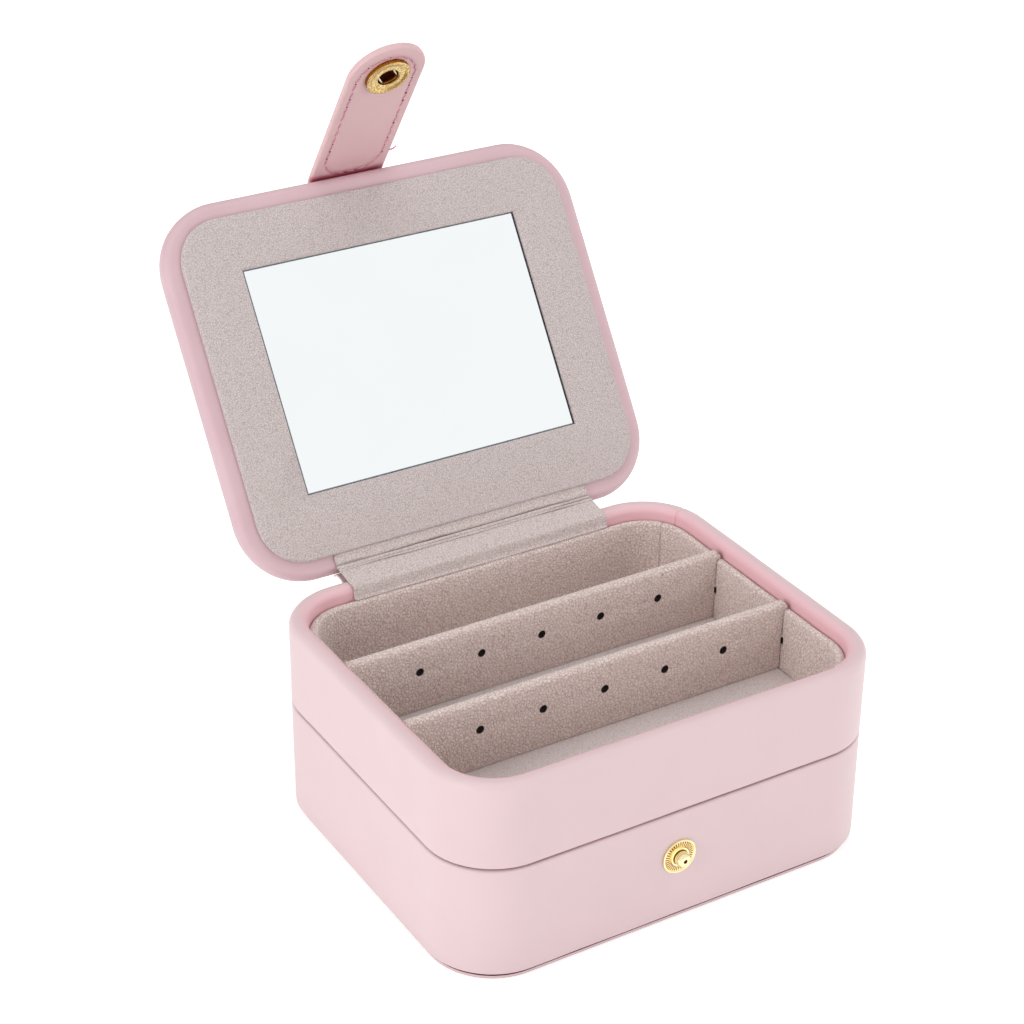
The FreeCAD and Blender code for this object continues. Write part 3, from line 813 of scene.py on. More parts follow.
# %% Board of an earring divider
BOARD_END_GAP = mm(0.3)
EAR_SHORT = mm(0.9)
TOP_ROUND, FOOT_ROUND = mm(1.2), mm(0.45)
low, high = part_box("earring_divider_front")
ear_foot = high.z - EAR_HEIGHT
reach = CASE_WIDTH / 2 - LINING_INSET - BOARD_END_GAP
divider = block("earring_divider_front_velvet", (-reach, low.y, low.z), (reach, high.y, high.z))
finishes(divider, VELVET)
cut((0, 0, ear_foot), UP)
for side in (-1, 1):
    pick(divider, "FACE",
         lambda face: face.normal.x * side > FACING and face.calc_center_median().z > ear_foot)
    extrude(side * (high.x - reach) - max(side, 0) * EAR_SHORT, 0, 0)
soften(divider, crease_at(high.z), TOP_ROUND, 5)
soften(divider, crease_at(low.z), FOOT_ROUND, 5)
print("divider board %.1f mm long without its ears" % (2 * reach / MM))

# %% [markdown]
# The holes are punched through board and velvet, so their rims are soft, and their insides are painted
# near black, painted shade inside the holes. Each is a Boolean with a cylinder, and the edges round the
# holes are then eased with the velvet's own finish.
# The second divider is a copy with its own mesh.

# %% Holes, and the second divider
HOLE_RADIUS = mm(1.05)
HOLE_PITCH = mm(16.75)
HOLE_DROP = mm(7.8)
HOLE_EASE = mm(0.25)
HOLE_PLACES = [HOLE_PITCH * i for i in (-2, -1, 0, 1, 2)]
hole_height = high.z - HOLE_DROP
for x in HOLE_PLACES:
    bore = start("cylinder", "bore", vertices=24, radius=HOLE_RADIUS, depth=mm(8),
                 location=(x, (low.y + high.y) / 2, hole_height), rotation=(math.pi / 2, 0, 0))
    carve(divider, bore, HOLE_AND_SLOT_SHADE)


def on_hole(edge):
    """Whether a short edge lies on the rim of one of the holes."""
    spots = [(vertex.co.x, vertex.co.z) for vertex in edge.verts]
    gaps = [min(abs(math.dist(spot, (x, hole_height)) - HOLE_RADIUS) for x in HOLE_PLACES) for spot in spots]
    return max(gaps) < mm(0.05) and edge.calc_length() < mm(1)


def copied(piece, name):
    """A copy of a piece with its own mesh and name."""
    only(piece)
    bpy.ops.object.duplicate()
    twin = bpy.context.object
    twin.name = twin.data.name = name
    return twin


edit(divider)
soften(divider, on_hole, HOLE_EASE, 2, material=0)
rear_divider = copied(divider, "earring_divider_rear_velvet")
settle(rear_divider, Matrix.Translation((0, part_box("earring_divider_rear")[0].y - low.y, 0)))
dress(divider, VELVET, "greige_velvet", "middle_tray", "earring_divider_front")
dress(rear_divider, VELVET, "greige_velvet", "middle_tray", "earring_divider_rear")

# %% [markdown]
# The bottom tray has two plain dividers of the same velvet board, one along and one across. They are
# blocks with the top edges rounded over as the velvet goes round the board.

# %% Dividers of the bottom tray
for name in ("base_long_divider", "base_cross_divider"):
    low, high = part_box(name)
    plain_divider = block(name + "_velvet", low, high)
    soften(plain_divider, crease_at(high.z), TOP_ROUND, 5)
    dress(plain_divider, VELVET, "greige_velvet", "base", name)

# %% [markdown]
# The ring rolls are foam bars wrapped in velvet, which grip a ring's band between them. A plain arched
# block looks like wood, so a block is swollen by Cloth with pressure, as the foam swells its wrapping.
# The net is simulated ten times its size, where Cloth behaves well, and no point may move further than a
# cap.

# %% Cloth that swells
SIMULATED_SCALE = 10
SIMULATED_STEPS = 20
PRESSURE = 30


def swollen(piece, cap):
    """Lets Cloth swell a closed net by pressure, and keeps each point within a cap of where it began."""
    before = [vertex.co.copy() for vertex in piece.data.vertices]
    only(piece)
    piece.scale = (SIMULATED_SCALE,) * 3
    bpy.ops.object.transform_apply()
    cloth = piece.modifiers.new("cloth", "CLOTH")
    cloth.settings.use_pressure = True
    cloth.settings.uniform_pressure_force = PRESSURE
    cloth.settings.effector_weights.gravity = 0
    for step in range(1, SIMULATED_STEPS + 1):
        bpy.context.scene.frame_set(step)
    bpy.ops.object.modifier_apply(modifier=cloth.name)
    bpy.context.scene.frame_set(1)
    for vertex, home in zip(piece.data.vertices, before):
        move = vertex.co / SIMULATED_SCALE - home
        vertex.co = home + move * min(1, cap / max(move.length, TINY))


# %% [markdown]
# One roll is made: a block a little too small, arched, remeshed to an even net and swollen. Its underside
# is pressed flat and its sides are kept off the next roll. The others are copies.

# %% Ring rolls
ROLL_COUNT = 6
ROLL_SHRINK = mm(0.45)
ROLL_ROUND = mm(5)
ROLL_VOXEL = mm(1.3)
ROLL_SWELL = mm(0.55)
ROLL_SPARE = mm(0.1)
roll_low, roll_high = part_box("ring_roll_1")
shrink = Vector((ROLL_SHRINK,) * 3)
roll = block("ring_roll_1_velvet", roll_low + shrink, roll_high - shrink)
on_top = crease_at(roll_high.z - ROLL_SHRINK)
soften(roll, lambda edge: on_top(edge) and edge.calc_length() > mm(20), ROLL_ROUND, 6)
modify(roll, "REMESH", mode="VOXEL", voxel_size=ROLL_VOXEL)
swollen(roll, ROLL_SWELL)
modify(roll, "SUBSURF", levels=1, render_levels=1)
for vertex in roll.data.vertices:
    vertex.co.y = min(max(vertex.co.y, roll_low.y - ROLL_SPARE), roll_high.y + ROLL_SPARE)
    vertex.co.z = max(vertex.co.z, roll_low.z)
rolls = [roll] + [copied(roll, "ring_roll_%d_velvet" % number) for number in range(2, ROLL_COUNT + 1)]
for number, twin in enumerate(rolls, 1):
    node = "ring_roll_%d" % number
    settle(twin, Matrix.Translation((0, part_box(node)[0].y - roll_low.y, 0)))
    dress(twin, VELVET, "greige_velvet", "base", node, angle=60)

# %% [markdown]
# The lid is easiest to draw shut, flat over the trays, and then to swing open as a whole about its hinge.
# The frame says where the hinge is and how far the lid is from shut, so the swing is one matrix.

# %% Where the open lid stands
LID_GAP = mm(0.7)
LID_THICKNESS = mm(6.1)
LID_BOTTOM = MIDDLE_RIM + LID_GAP
LID_TOP = LID_BOTTOM + LID_THICKNESS
LID_AXIS = Vector(JOINTS["lid_hinge"]["pos_m"])
LID_ANGLE = math.radians(JOINTS["lid_hinge"]["range_deg"][1])
LID_OPEN = Matrix.Translation(LID_AXIS) @ Matrix.Rotation(-LID_ANGLE, 4, "X") @ Matrix.Translation(-LID_AXIS)
print("lid hinge at", in_mm(LID_AXIS), "open by %.0f degrees" % math.degrees(LID_ANGLE))

# %% [markdown]
# The lid's leather goes over a thin foam on board, so its outer face is crowned a very little and its
# edge is round. It is drawn as the walls are: a slab with its edges bevelled, the inner face left open
# under the panel, and thickness by Solidify. A net of cuts lets the outer face bend to its crown.

# %% Leather of the lid
LID_TOP_ROUND, LID_RIM_ROUND = mm(3), mm(2)
LID_LIP = mm(8)
LID_RING, LID_RING_LIFT = mm(4), mm(0.08)
LID_CUTS = 18
LID_NET = mm(7)
CROWN, CROWN_INSET, CROWN_REACH = mm(0.25), mm(15), mm(24)
lid_leather = slab("lid_cover_leather", 0, LID_BOTTOM, LID_TOP)
soften(lid_leather, crease_at(LID_TOP), LID_TOP_ROUND, 7)
soften(lid_leather, crease_at(LID_BOTTOM), LID_RIM_ROUND, 6)
ring_in(lid_leather, facing(DOWN, LID_BOTTOM), LID_LIP)
bpy.ops.mesh.delete(type="FACE")
ring_in(lid_leather, facing(UP, LID_TOP), LID_RING, LID_RING_LIFT)
for axis, length in (((1, 0, 0), CASE_WIDTH), ((0, 1, 0), CASE_DEPTH)):
    for i in range(1, LID_CUTS):
        cut(Vector(axis) * length * (i / LID_CUTS - 0.5), axis)
shorten(lid_leather, LID_NET)
pick(lid_leather, "VERT",
     lambda vertex: vertex.co.z > LID_TOP + TINY and inside_outline(vertex.co) > CROWN_INSET)
bpy.ops.transform.translate(value=(0, 0, CROWN), use_proportional_edit=True, proportional_size=CROWN_REACH)
hand_laid(lid_leather, 18, 0.14)
modify(lid_leather, "SOLIDIFY", thickness=LEATHER_SKIN, offset=-1)
settle(lid_leather, LID_OPEN)
dress(lid_leather, SHADED_LID_LEATHER, "pink_leather", "lid", "lid_cover")

# %% [markdown]
# The raised panel in the lid is board covered with velvet, with a window for the mirror. It is the
# outline with a smaller corner, a Boolean cuts the window, and both edges are rounded over where the
# velvet goes round.

# %% Velvet panel of the lid
PANEL_MARGIN = mm(4.4)
PANEL_RADIUS = mm(11.5)
PANEL_PROUD = mm(1.4)
PANEL_ROUND, PANEL_FOOT_ROUND = mm(0.6), mm(0.35)
PANEL_NET = mm(6)
MIRROR_WIDTH, MIRROR_DEPTH = mm(76.0, 56.5)
MIRROR_FORWARD = mm(0.9)
WINDOW_GAP_X, WINDOW_GAP_Y = mm(0.3), mm(0.1)
CUT_PAST = mm(1)
panel_face = LID_BOTTOM - PANEL_PROUD
panel = rounded_flat("lid_panel_velvet", CASE_WIDTH - 2 * PANEL_MARGIN, CASE_DEPTH - 2 * PANEL_MARGIN,
                     PANEL_RADIUS, panel_face)
extrude(0, 0, PANEL_PROUD)
outward()
finishes(panel, PANEL_VELVET)
half_x, half_y = MIRROR_WIDTH / 2 + WINDOW_GAP_X, MIRROR_DEPTH / 2 + WINDOW_GAP_Y
window = block("window", (-half_x, -MIRROR_FORWARD - half_y, panel_face - CUT_PAST),
               (half_x, -MIRROR_FORWARD + half_y, LID_BOTTOM + CUT_PAST))
carve(panel, window, PANEL_VELVET)
edit(panel)
soften(panel, crease_at(panel_face), PANEL_ROUND, 4)
soften(panel, crease_at(LID_BOTTOM), PANEL_FOOT_ROUND, 4)
shorten(panel, PANEL_NET)
settle(panel, LID_OPEN)
dress(panel, PANEL_VELVET, "greige_velvet", "lid", "lid_panel")

# %% [markdown]
# The mirror is a plate of silvered glass with its edges ground off, laid a little askew in its window.
# The faces of the ground edge take the darker look of cut glass, which is the thin dark line round it.

# %% Mirror
MIRROR_ASKEW = mm(0.2)
MIRROR_SUNK, MIRROR_THICKNESS = mm(0.8), mm(1.7)
GROUND_EDGE = mm(0.25)
mirror_back = LID_BOTTOM + MIRROR_SUNK
glass = block("mirror_glass", (-MIRROR_WIDTH / 2 - MIRROR_ASKEW, -MIRROR_FORWARD - MIRROR_DEPTH / 2,
                               mirror_back - MIRROR_THICKNESS),
              (MIRROR_WIDTH / 2 - MIRROR_ASKEW, -MIRROR_FORWARD + MIRROR_DEPTH / 2, mirror_back))
soften(glass, every, GROUND_EDGE, 1)
finishes(glass, SILVER, GLASS_EDGE)
paint(glass, lambda face: face.normal.z > -0.99, 1)
settle(glass, LID_OPEN)
dress(glass, SILVER, "mirror_glass", "lid", "mirror", angle=5)

# %% [markdown]
# The lid hangs on two strips and no metal: a velvet strip inside and a leather strip outside. Each is a
# sheet that is drawn out row by row along its path, smoothed by Subdivision Surface and made as thick as
# cloth by Solidify. A path is a list of (y, z) places, and on the open lid they are told from its rear
# edge.

# %% Strips along a path
HINGE_WIDTH = mm(72)


def lid_spot(from_rear_mm, inward_mm):
    """Place (y, z) on the open lid, by the distances from its rear edge and inwards from its rim plane."""
    spot = LID_OPEN @ Vector((0, REAR_Y - mm(from_rear_mm), LID_BOTTOM - mm(inward_mm)))
    return spot.y, spot.z


def strip(name, columns, path):
    """A flat sheet across the case, drawn out row by row from its first run through (y, z) places."""
    (y0, z0), (y1, z1) = path[:2]
    piece = start("grid", name, x_subdivisions=columns, y_subdivisions=1, size=1,
                  scale=(HINGE_WIDTH, math.dist(*path[:2]), 1))
    settle(piece, Matrix.Translation((0, (y0 + y1) / 2, (z0 + z1) / 2))
           @ Matrix.Rotation(math.atan2(z1 - z0, y1 - y0), 4, "X"))
    edit(piece)
    pick(piece, "EDGE", lambda edge: all(math.dist(v.co.yz, path[1]) < TINY for v in edge.verts))
    for (y_a, z_a), (y_b, z_b) in zip(path[1:], path[2:]):
        extrude(0, y_b - y_a, z_b - z_a)
    return piece


def cloth_strip(name, columns, path, wander_mm, amount_mm, thickness):
    """A strip that is smoothed, laid by hand and as thick as its cloth, and its length."""
    piece = strip(name, columns, path)
    modify(piece, "SUBSURF", levels=2, render_levels=2)
    hand_laid(piece, wander_mm, amount_mm)
    modify(piece, "SOLIDIFY", thickness=thickness, offset=0)
    length = sum(math.dist(a, b) for a, b in zip(path, path[1:]))
    print("%s is %.1f mm long" % (name, length / MM))
    return piece, length


# %% [markdown]
# The velvet strip runs from under the lid's panel, over the gap, and down inside the tray's lining. It
# has folded many times, so it has one deep crease by the lid and two slight ones beside it, and each is
# three rows of the sheet with the middle one sunk.

# %% Path of the velvet strip
HINGE_OFF_MM = 0.35
CREASES_MM = [(0.4, 1.0), (1.6, 0.6), (2.5, 0.4)]
CREASE_HALF_MM = 0.22
VELVET_END_MM = [(0.1, 50.3), (0.45, 49.75), (0.95, 49.5)]


def creased(path_start, path_end, creases_mm):
    """Places from one spot to another, with a valley at each (distance along, depth) in mm."""
    (y0, z0), (y1, z1) = path_start, path_end
    run = math.dist(path_start, path_end)
    along = ((y1 - y0) / run, (z1 - z0) / run)
    places = []
    for distance_mm, depth_mm in creases_mm:
        for offset_mm, share in ((-CREASE_HALF_MM, 0), (0, 1), (CREASE_HALF_MM, 0)):
            step = mm(distance_mm + offset_mm)
            sink = mm(depth_mm) * share
            places.append((y0 + along[0] * step - along[1] * sink, z0 + along[1] * step + along[0] * sink))
    return places


rim_top = MIDDLE_RIM + mm(HINGE_OFF_MM)
inner_y = REAR_Y - WALL - mm(HINGE_OFF_MM)
lid_turn = lid_spot(1.9, HINGE_OFF_MM)
tray_turn = (REAR_Y - mm(2.6), rim_top)
velvet_path = [lid_spot(4.35, HINGE_OFF_MM), lid_spot(3.2, HINGE_OFF_MM)]
velvet_path += creased(lid_turn, tray_turn, CREASES_MM)
velvet_path += [tray_turn, (inner_y + mm(0.5), rim_top), (inner_y, rim_top - mm(0.5))]
velvet_path += [(inner_y - mm(inward), mm(height)) for inward, height in VELVET_END_MM]
print("velvet strip passes %d places" % len(velvet_path))

# %% [markdown]
# In its creases the velvet is painted darker, as painted shade, more in one place than in another, so
# a smooth noise along the strip bends and fades each line.

# %% Velvet hinge strip
CREASE_WIDTH = mm(0.2)
CREASE_STRAY, STRAY_LENGTH = mm(0.3), mm(14)
FADE_LENGTH = mm(11)


def crease_shade(spot):
    """Painted shade at a spot of the velvet: most in the creases, which wander a little from side to side.
    """
    amount = 0
    run = Vector(tray_turn) - Vector(lid_turn)
    walked = (Vector((spot.y, spot.z)) - Vector(lid_turn)).dot(run.normalized())
    for distance_mm, depth_mm in CREASES_MM:
        stray = noise.noise(Vector((spot.x / STRAY_LENGTH, distance_mm * 7, 0)))
        fade = noise.noise(Vector((spot.x / FADE_LENGTH, distance_mm * 3, 5)))
        gap = walked - mm(distance_mm) - CREASE_STRAY * stray
        amount = max(amount, (0.1 + 0.8 * fade + 0.6 * depth_mm) * math.exp(-(gap / CREASE_WIDTH) ** 2))
    return amount


hinge_velvet, velvet_length = cloth_strip("lid_hinge_velvet", 36, velvet_path, 5, 0.16, mm(0.45))
mark_shade(hinge_velvet, crease_shade)
dress(hinge_velvet, HINGE_VELVET, "greige_velvet", None, "lid_hinge_lining", angle=60)
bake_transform(hinge_velvet)

# %% [markdown]
# Outside, the spine is the same leather as the walls. One strip joins the lid to the middle tray, and one
# lies across the seam of the two trays, so that the trays open like a book.

# %% Leather spines
SPINE_OFF_MM = 0.4
SPINE_HEIGHTS_MM = (46, 49.5, 51.2)
SEAM_END, SEAM_FLEX, SEAM_BEND = mm(5), mm(2), mm(2.5)
spine_y = REAR_Y + mm(SPINE_OFF_MM)


def leather_spine(node, path):
    """A leather strip that lies on two covers."""
    piece, length = cloth_strip(node + "_leather", 12, path, 12, 0.12, mm(0.55))
    dress(piece, LEATHER, "pink_leather", None, node, angle=60)
    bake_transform(piece)


lid_path = [(spine_y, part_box("lid_hinge_spine")[0].z)]
lid_path += [(spine_y, mm(height)) for height in SPINE_HEIGHTS_MM]
lid_path += [lid_spot(-SPINE_OFF_MM, -up_mm) for up_mm in (0.9, 2.4, 4.4)]
leather_spine("lid_hinge_spine", lid_path)
seam_low, seam_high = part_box("tray_hinge_spine")
seam = JOINTS["tray_hinge"]["pos_m"][2]
seam_heights = [seam_low.z, seam_low.z + SEAM_END, seam - SEAM_FLEX, seam, seam + SEAM_FLEX,
                seam_high.z - SEAM_END, seam_high.z]
leather_spine("tray_hinge_spine", [(spine_y, height) for height in seam_heights])

# %% [markdown]
# The strap is two layers of leather cloth sewn together. It is drawn flat, as it is cut, and then laid on
# the lid: along the outer face, round the front edge in an arc, and straight out to its tip. A bend tool
# would need a window, so one function says where a spot of the flat strap goes.

# %% Where the flat strap lies
STRAP_WIDTH = mm(20.5)
STRAP_LAYER = mm(0.8)
STRAP_ARC = mm(3.9)
STRAP_X = (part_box("strap_outer")[0].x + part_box("strap_outer")[1].x) / 2
STRAP_ANGLE = math.radians(-JOINTS["strap_fold"]["range_deg"][0])
fold = LID_OPEN.inverted() @ Vector(JOINTS["strap_fold"]["pos_m"])
arc_z = LID_TOP + STRAP_LAYER - STRAP_ARC
arc_y = fold.y + (STRAP_ARC + (arc_z - fold.z) * math.cos(STRAP_ANGLE)) / math.sin(STRAP_ANGLE)
ARC_END = (fold.y - arc_y) * math.cos(STRAP_ANGLE) + (fold.z - arc_z) * math.sin(STRAP_ANGLE)
ARC_START = ARC_END - STRAP_ARC * STRAP_ANGLE


def strap_place(x, along, out):
    """Where a spot of the flat strap lies, told right, up from the fold and out, as seen with the tip up."""
    angle = min(max((along - ARC_START) / STRAP_ARC, 0), STRAP_ANGLE)
    past = max(along - ARC_END, 0) + min(along - ARC_START, 0)
    y = arc_y - math.sin(angle) * (STRAP_ARC + out) - math.cos(angle) * past
    z = arc_z + math.cos(angle) * (STRAP_ARC + out) - math.sin(angle) * past
    return LID_OPEN @ Vector((STRAP_X - x, y, z))


def lay_strap(piece):
    """Lays a flat strap piece, drawn with x across, y along and z out, on the lid."""
    leave_edit()
    for vertex in piece.data.vertices:
        vertex.co = strap_place(*vertex.co)


def bend_strap(piece):
    """Writes a strap piece's place into its mesh."""
    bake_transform(piece)


print("strap bends from %.1f to %.1f mm" % (ARC_START / MM, ARC_END / MM))

# %% [markdown]
# One closed line of stitches holds the two layers: down both sides, round the socket and across near the
# fold. The line is laid out from straight runs and arcs, and walked in even steps.

# %% The line of stitches
STITCH_HALF = mm(7.85)
STITCH_FOOT = mm(2.2)
STITCH_CORNER = mm(6.5)
STITCH_ARC_CENTRE = mm(38.6)
STITCH_PITCH = mm(2.9)


def arc_points(x, y, radius, first_deg, last_deg, count=12):
    """Points on an arc about a centre."""
    angles = [math.radians(first_deg + (last_deg - first_deg) * i / count) for i in range(count + 1)]
    return [Vector((x + radius * math.cos(a), y + radius * math.sin(a))) for a in angles]


def stitch_spots(line, pitch):
    """Even spots along a line: the place and the direction of each stitch."""
    runs = [(a, b - a) for a, b in zip(line, line[1:]) if (b - a).length > TINY]
    total = sum(run.length for a, run in runs)
    count = round(total / pitch)
    spots = []
    walked = 0.0
    for a, run in runs:
        while len(spots) < count and (len(spots) + 0.5) * total / count <= walked + run.length:
            share = ((len(spots) + 0.5) * total / count - walked) / run.length
            spots.append((a + run * share, math.atan2(run.y, run.x)))
        walked += run.length
    return spots


corner_x = STITCH_HALF - STITCH_CORNER
corner_y = STITCH_FOOT + STITCH_CORNER
stitch_line = arc_points(0, STITCH_ARC_CENTRE, STITCH_HALF, 0, 180, 36)
stitch_line += arc_points(-corner_x, corner_y, STITCH_CORNER, 180, 270)
stitch_line += arc_points(corner_x, corner_y, STITCH_CORNER, 270, 360)
stitch_line.append(stitch_line[0])
SPOTS = stitch_spots(stitch_line, STITCH_PITCH)
print("%d stitches along the strap" % len(SPOTS))

# %% [markdown]
# Sewn leather sinks along the thread and swells beside it. The net of the strap is fine enough to show
# that, so its points are moved by their distance from the line of stitches, as one would with a sculpting
# brush.

# %% Furrow along the stitches
FURROW, FURROW_WIDTH = mm(0.2), mm(0.55)
SWELL, SWELL_WIDTH, SWELL_OFF = mm(0.07), mm(0.8), mm(1.2)


def stitch_distance(x, y):
    """How far a spot of the strap is from the line of stitches."""
    spot = Vector((x, y))
    nearest = math.inf
    for a, b in zip(stitch_line, stitch_line[1:]):
        run = b - a
        share = min(max((spot - a).dot(run) / max(run.length_squared, TINY ** 2), 0), 1)
        nearest = min(nearest, (spot - a - run * share).length)
    return nearest


def furrow(piece, side):
    """Sinks the outer side of a flat strap layer along the stitches, past the fold."""
    leave_edit()
    for vertex in piece.data.vertices:
        if abs(vertex.co.z - side * STRAP_LAYER) < TINY and vertex.co.y > 0:
            gap = stitch_distance(vertex.co.x, vertex.co.y)
            swell = SWELL * math.exp(-((gap - SWELL_OFF) / SWELL_WIDTH) ** 2)
            vertex.co.z += side * (swell - FURROW * math.exp(-(gap / FURROW_WIDTH) ** 2))


# %% [markdown]
# Each layer starts as a plane with a round tip. Extrude gives it thickness, its edge is rounded over, and
# cuts with Bisect make a net on it, so that it can bend. The furrow and the hole for the snap come next,
# while the layer is still flat. The lining is marked in the fold for a deeper crimson, painted shade at
# the strap's root.

# %% Strap leather
STRAP_TAIL = mm(25)
SOCKET_REACH = mm(40.25)
TIP = SOCKET_REACH + mm(9.9)
TIP_ROUND, TAIL_ROUND = mm(10), mm(3)
STRAP_ROUND = mm(0.45)
STRAP_COLUMNS = 28
STRAP_NET = mm(0.7)
SNAP_HOLE = mm(3.25)
FOLD_SHADE, FOLD_SHADE_WIDTH = mm(1.2), mm(1.6)


def strap_leather(name, side, *nodes):
    """One layer of the strap: the outer one has side 1 and the lining -1."""
    tail = ARC_START - STRAP_TAIL
    piece = start("plane", name, size=1, location=(0, (TIP + tail) / 2, 0),
                  scale=(STRAP_WIDTH, TIP - tail, 1))
    for end, radius in ((TIP, TIP_ROUND), (tail, TAIL_ROUND)):
        pick(piece, "VERT", lambda vertex: abs(vertex.co.y - end) < TINY)
        bpy.ops.mesh.bevel(offset=radius, segments=14, affect="VERTICES")
    pick(piece, "FACE", every)
    extrude(0, 0, side * STRAP_LAYER)
    outward()
    soften(piece, crease_at(side * STRAP_LAYER), STRAP_ROUND, 3)
    for i in range(1, STRAP_COLUMNS):
        cut((STRAP_WIDTH * (i / STRAP_COLUMNS - 0.5), 0, 0), (1, 0, 0))
    for i in range(1, int((TIP - tail) / STRAP_NET) + 1):
        cut((0, tail + STRAP_NET * i, 0), (0, 1, 0))
    furrow(piece, side)
    finishes(piece, STRAP_LEATHER)
    hole = start("cylinder", "hole", vertices=48, radius=SNAP_HOLE, depth=mm(6),
                 location=(0, SOCKET_REACH, 0))
    carve(piece, hole, STRAP_LEATHER)
    # The lining's fold is marked for painted shade at the root of the strap.
    if side < 0:
        mark_shade(piece, lambda spot: 1.2 - abs(spot.y - FOLD_SHADE) / FOLD_SHADE_WIDTH)
    lay_strap(piece)
    dress(piece, STRAP_LEATHER, "pink_leather", None, *nodes, angle=50)
    bend_strap(piece)


strap_leather("strap_outer_leather", 1, "strap_outer", "strap_tail")
strap_leather("strap_lining_leather", -1, "strap_lining")

# %% [markdown]
# A stitch is a short length of thread that dives into a needle hole at both ends. One is made from a
# cylinder with its ends drawn down, and the shade in one needle hole is painted as a dark disc, dished a
# little.

# %% One stitch and the painted shade of one needle hole
THREAD_RADIUS = mm(0.19)
STITCH_LENGTH = mm(2.2)
HOLE_DISC = mm(0.36)

stitch = start("cylinder", "stitch", vertices=8, radius=THREAD_RADIUS, depth=STITCH_LENGTH,
               rotation=(0, math.pi / 2, 0))
for share in (-0.4, -0.2, 0.2, 0.4):
    cut((STITCH_LENGTH * share, 0, 0), (1, 0, 0))
pick(stitch, "VERT", lambda vertex: abs(vertex.co.x) > STITCH_LENGTH * 0.45)
bpy.ops.transform.translate(value=(0, 0, -THREAD_RADIUS * 1.6))
pick(stitch, "VERT", lambda vertex: abs(abs(vertex.co.x) - STITCH_LENGTH * 0.4) < TINY)
bpy.ops.transform.translate(value=(0, 0, -THREAD_RADIUS * 0.5))
finishes(stitch, THREAD)

needle_hole = start("circle", "needle_hole", vertices=10, radius=HOLE_DISC, fill_type="NGON")
bpy.ops.mesh.inset(thickness=HOLE_DISC * 0.5, depth=-HOLE_DISC * 0.2)
finishes(needle_hole, NEEDLE_HOLE_SHADE)
print("one stitch %.1f mm long" % (STITCH_LENGTH / MM))

# %% [markdown]
# The stitch is copied along the line on both sides of the strap, each a little slanted as a machine lays
# it, with the painted shade of a needle hole ahead of it. No two holes are pulled open alike, so a smooth
# noise gives their size.

# %% Stitches along the line
STITCH_SLANT = Matrix.Rotation(math.radians(9), 4, "Z")
HOLE_SINK = mm(0.04)
HOLE_SIZE, HOLE_SPREAD, HOLE_CHANGE = 0.55, 0.75, mm(2.3)

sewn = []
for side in (-1, 1):
    flip = Matrix.Rotation(0 if side > 0 else math.pi, 4, "X")
    lift = side * (STRAP_LAYER - FURROW + THREAD_RADIUS * 0.7)
    for spot, angle in SPOTS:
        turn = Matrix.Rotation(angle, 4, "Z")
        sewn.append(copied(stitch, "stitch"))
        sewn[-1].matrix_world = Matrix.Translation((*spot, lift)) @ turn @ STITCH_SLANT @ flip
        ahead = turn @ Vector((STITCH_PITCH / 2, 0, 0))
        place = Matrix.Translation((spot.x + ahead.x, spot.y + ahead.y, side * (STRAP_LAYER - HOLE_SINK)))
        pull = noise.noise(Vector((spot.x, spot.y, side)) / HOLE_CHANGE)
        sewn.append(copied(needle_hole, "needle_hole"))
        sewn[-1].matrix_world = place @ turn @ flip @ Matrix.Scale(HOLE_SIZE + HOLE_SPREAD * pull, 4)
bpy.data.objects.remove(stitch)
bpy.data.objects.remove(needle_hole)
print("%d stitches and needle holes" % len(sewn))

# %% [markdown]
# A loose end of thread sticks out at the right edge near the lid. It is a small disc drawn out along its
# path. It is joined with the stitches into one piece, still flat, and the piece is then laid on the lid
# as the leather was.

# %% Loose end of thread, and the sewn line
LOOSE_RADIUS = mm(0.2)
LOOSE_PATH = [Vector(mm(-9.8, 8.2, -0.7)), Vector(mm(-10.5, 8.5, -0.9)), Vector(mm(-11.1, 8.9, -0.9)),
              Vector(mm(-11.6, 9.2, -0.7))]


def joined(pieces, name):
    """Joins pieces into the first one and names the whole."""
    only(pieces[0])
    for piece in pieces:
        piece.select_set(True)
    bpy.ops.object.join()
    pieces[0].name = pieces[0].data.name = name
    return pieces[0]


loose_end = start("circle", "loose_end", vertices=6, radius=LOOSE_RADIUS, fill_type="NGON",
                  location=LOOSE_PATH[0], rotation=(0, math.pi / 2, 0))
for a, b in zip(LOOSE_PATH, LOOSE_PATH[1:]):
    extrude(*(b - a))
outward()
finishes(loose_end, THREAD)
stitches = joined(sewn + [loose_end], "strap_stitches")
bpy.ops.object.transform_apply()
lay_strap(stitches)
dress(stitches, THREAD, "pink_leather", None, angle=50)
bend_strap(stitches)

# %% [markdown]
# The snap's parts are turned or stamped round, so each is drawn as on a lathe: a filled circle, extruded
# and scaled step by step through the corners of its profile. They are drawn standing up and then set on
# the strap or the wall, each by one matrix.

# %% Turned forms
SNAP_STEPS = 72


def turned_form(name, profile_mm):
    """A closed round form through the (radius, height) corners of its profile, from first ring to last."""
    radius, height = profile_mm[0]
    piece = start("circle", name, vertices=SNAP_STEPS, radius=mm(radius), fill_type="NGON",
                  location=(0, 0, mm(height)))
    for next_radius, next_height in profile_mm[1:]:
        extrude(0, 0, mm(next_height - height))
        factor = next_radius / radius
        bpy.ops.transform.resize(value=(factor, factor, 1), center_override=(0, 0, mm(next_height)))
        radius, height = next_radius, next_height
    outward()
    return piece


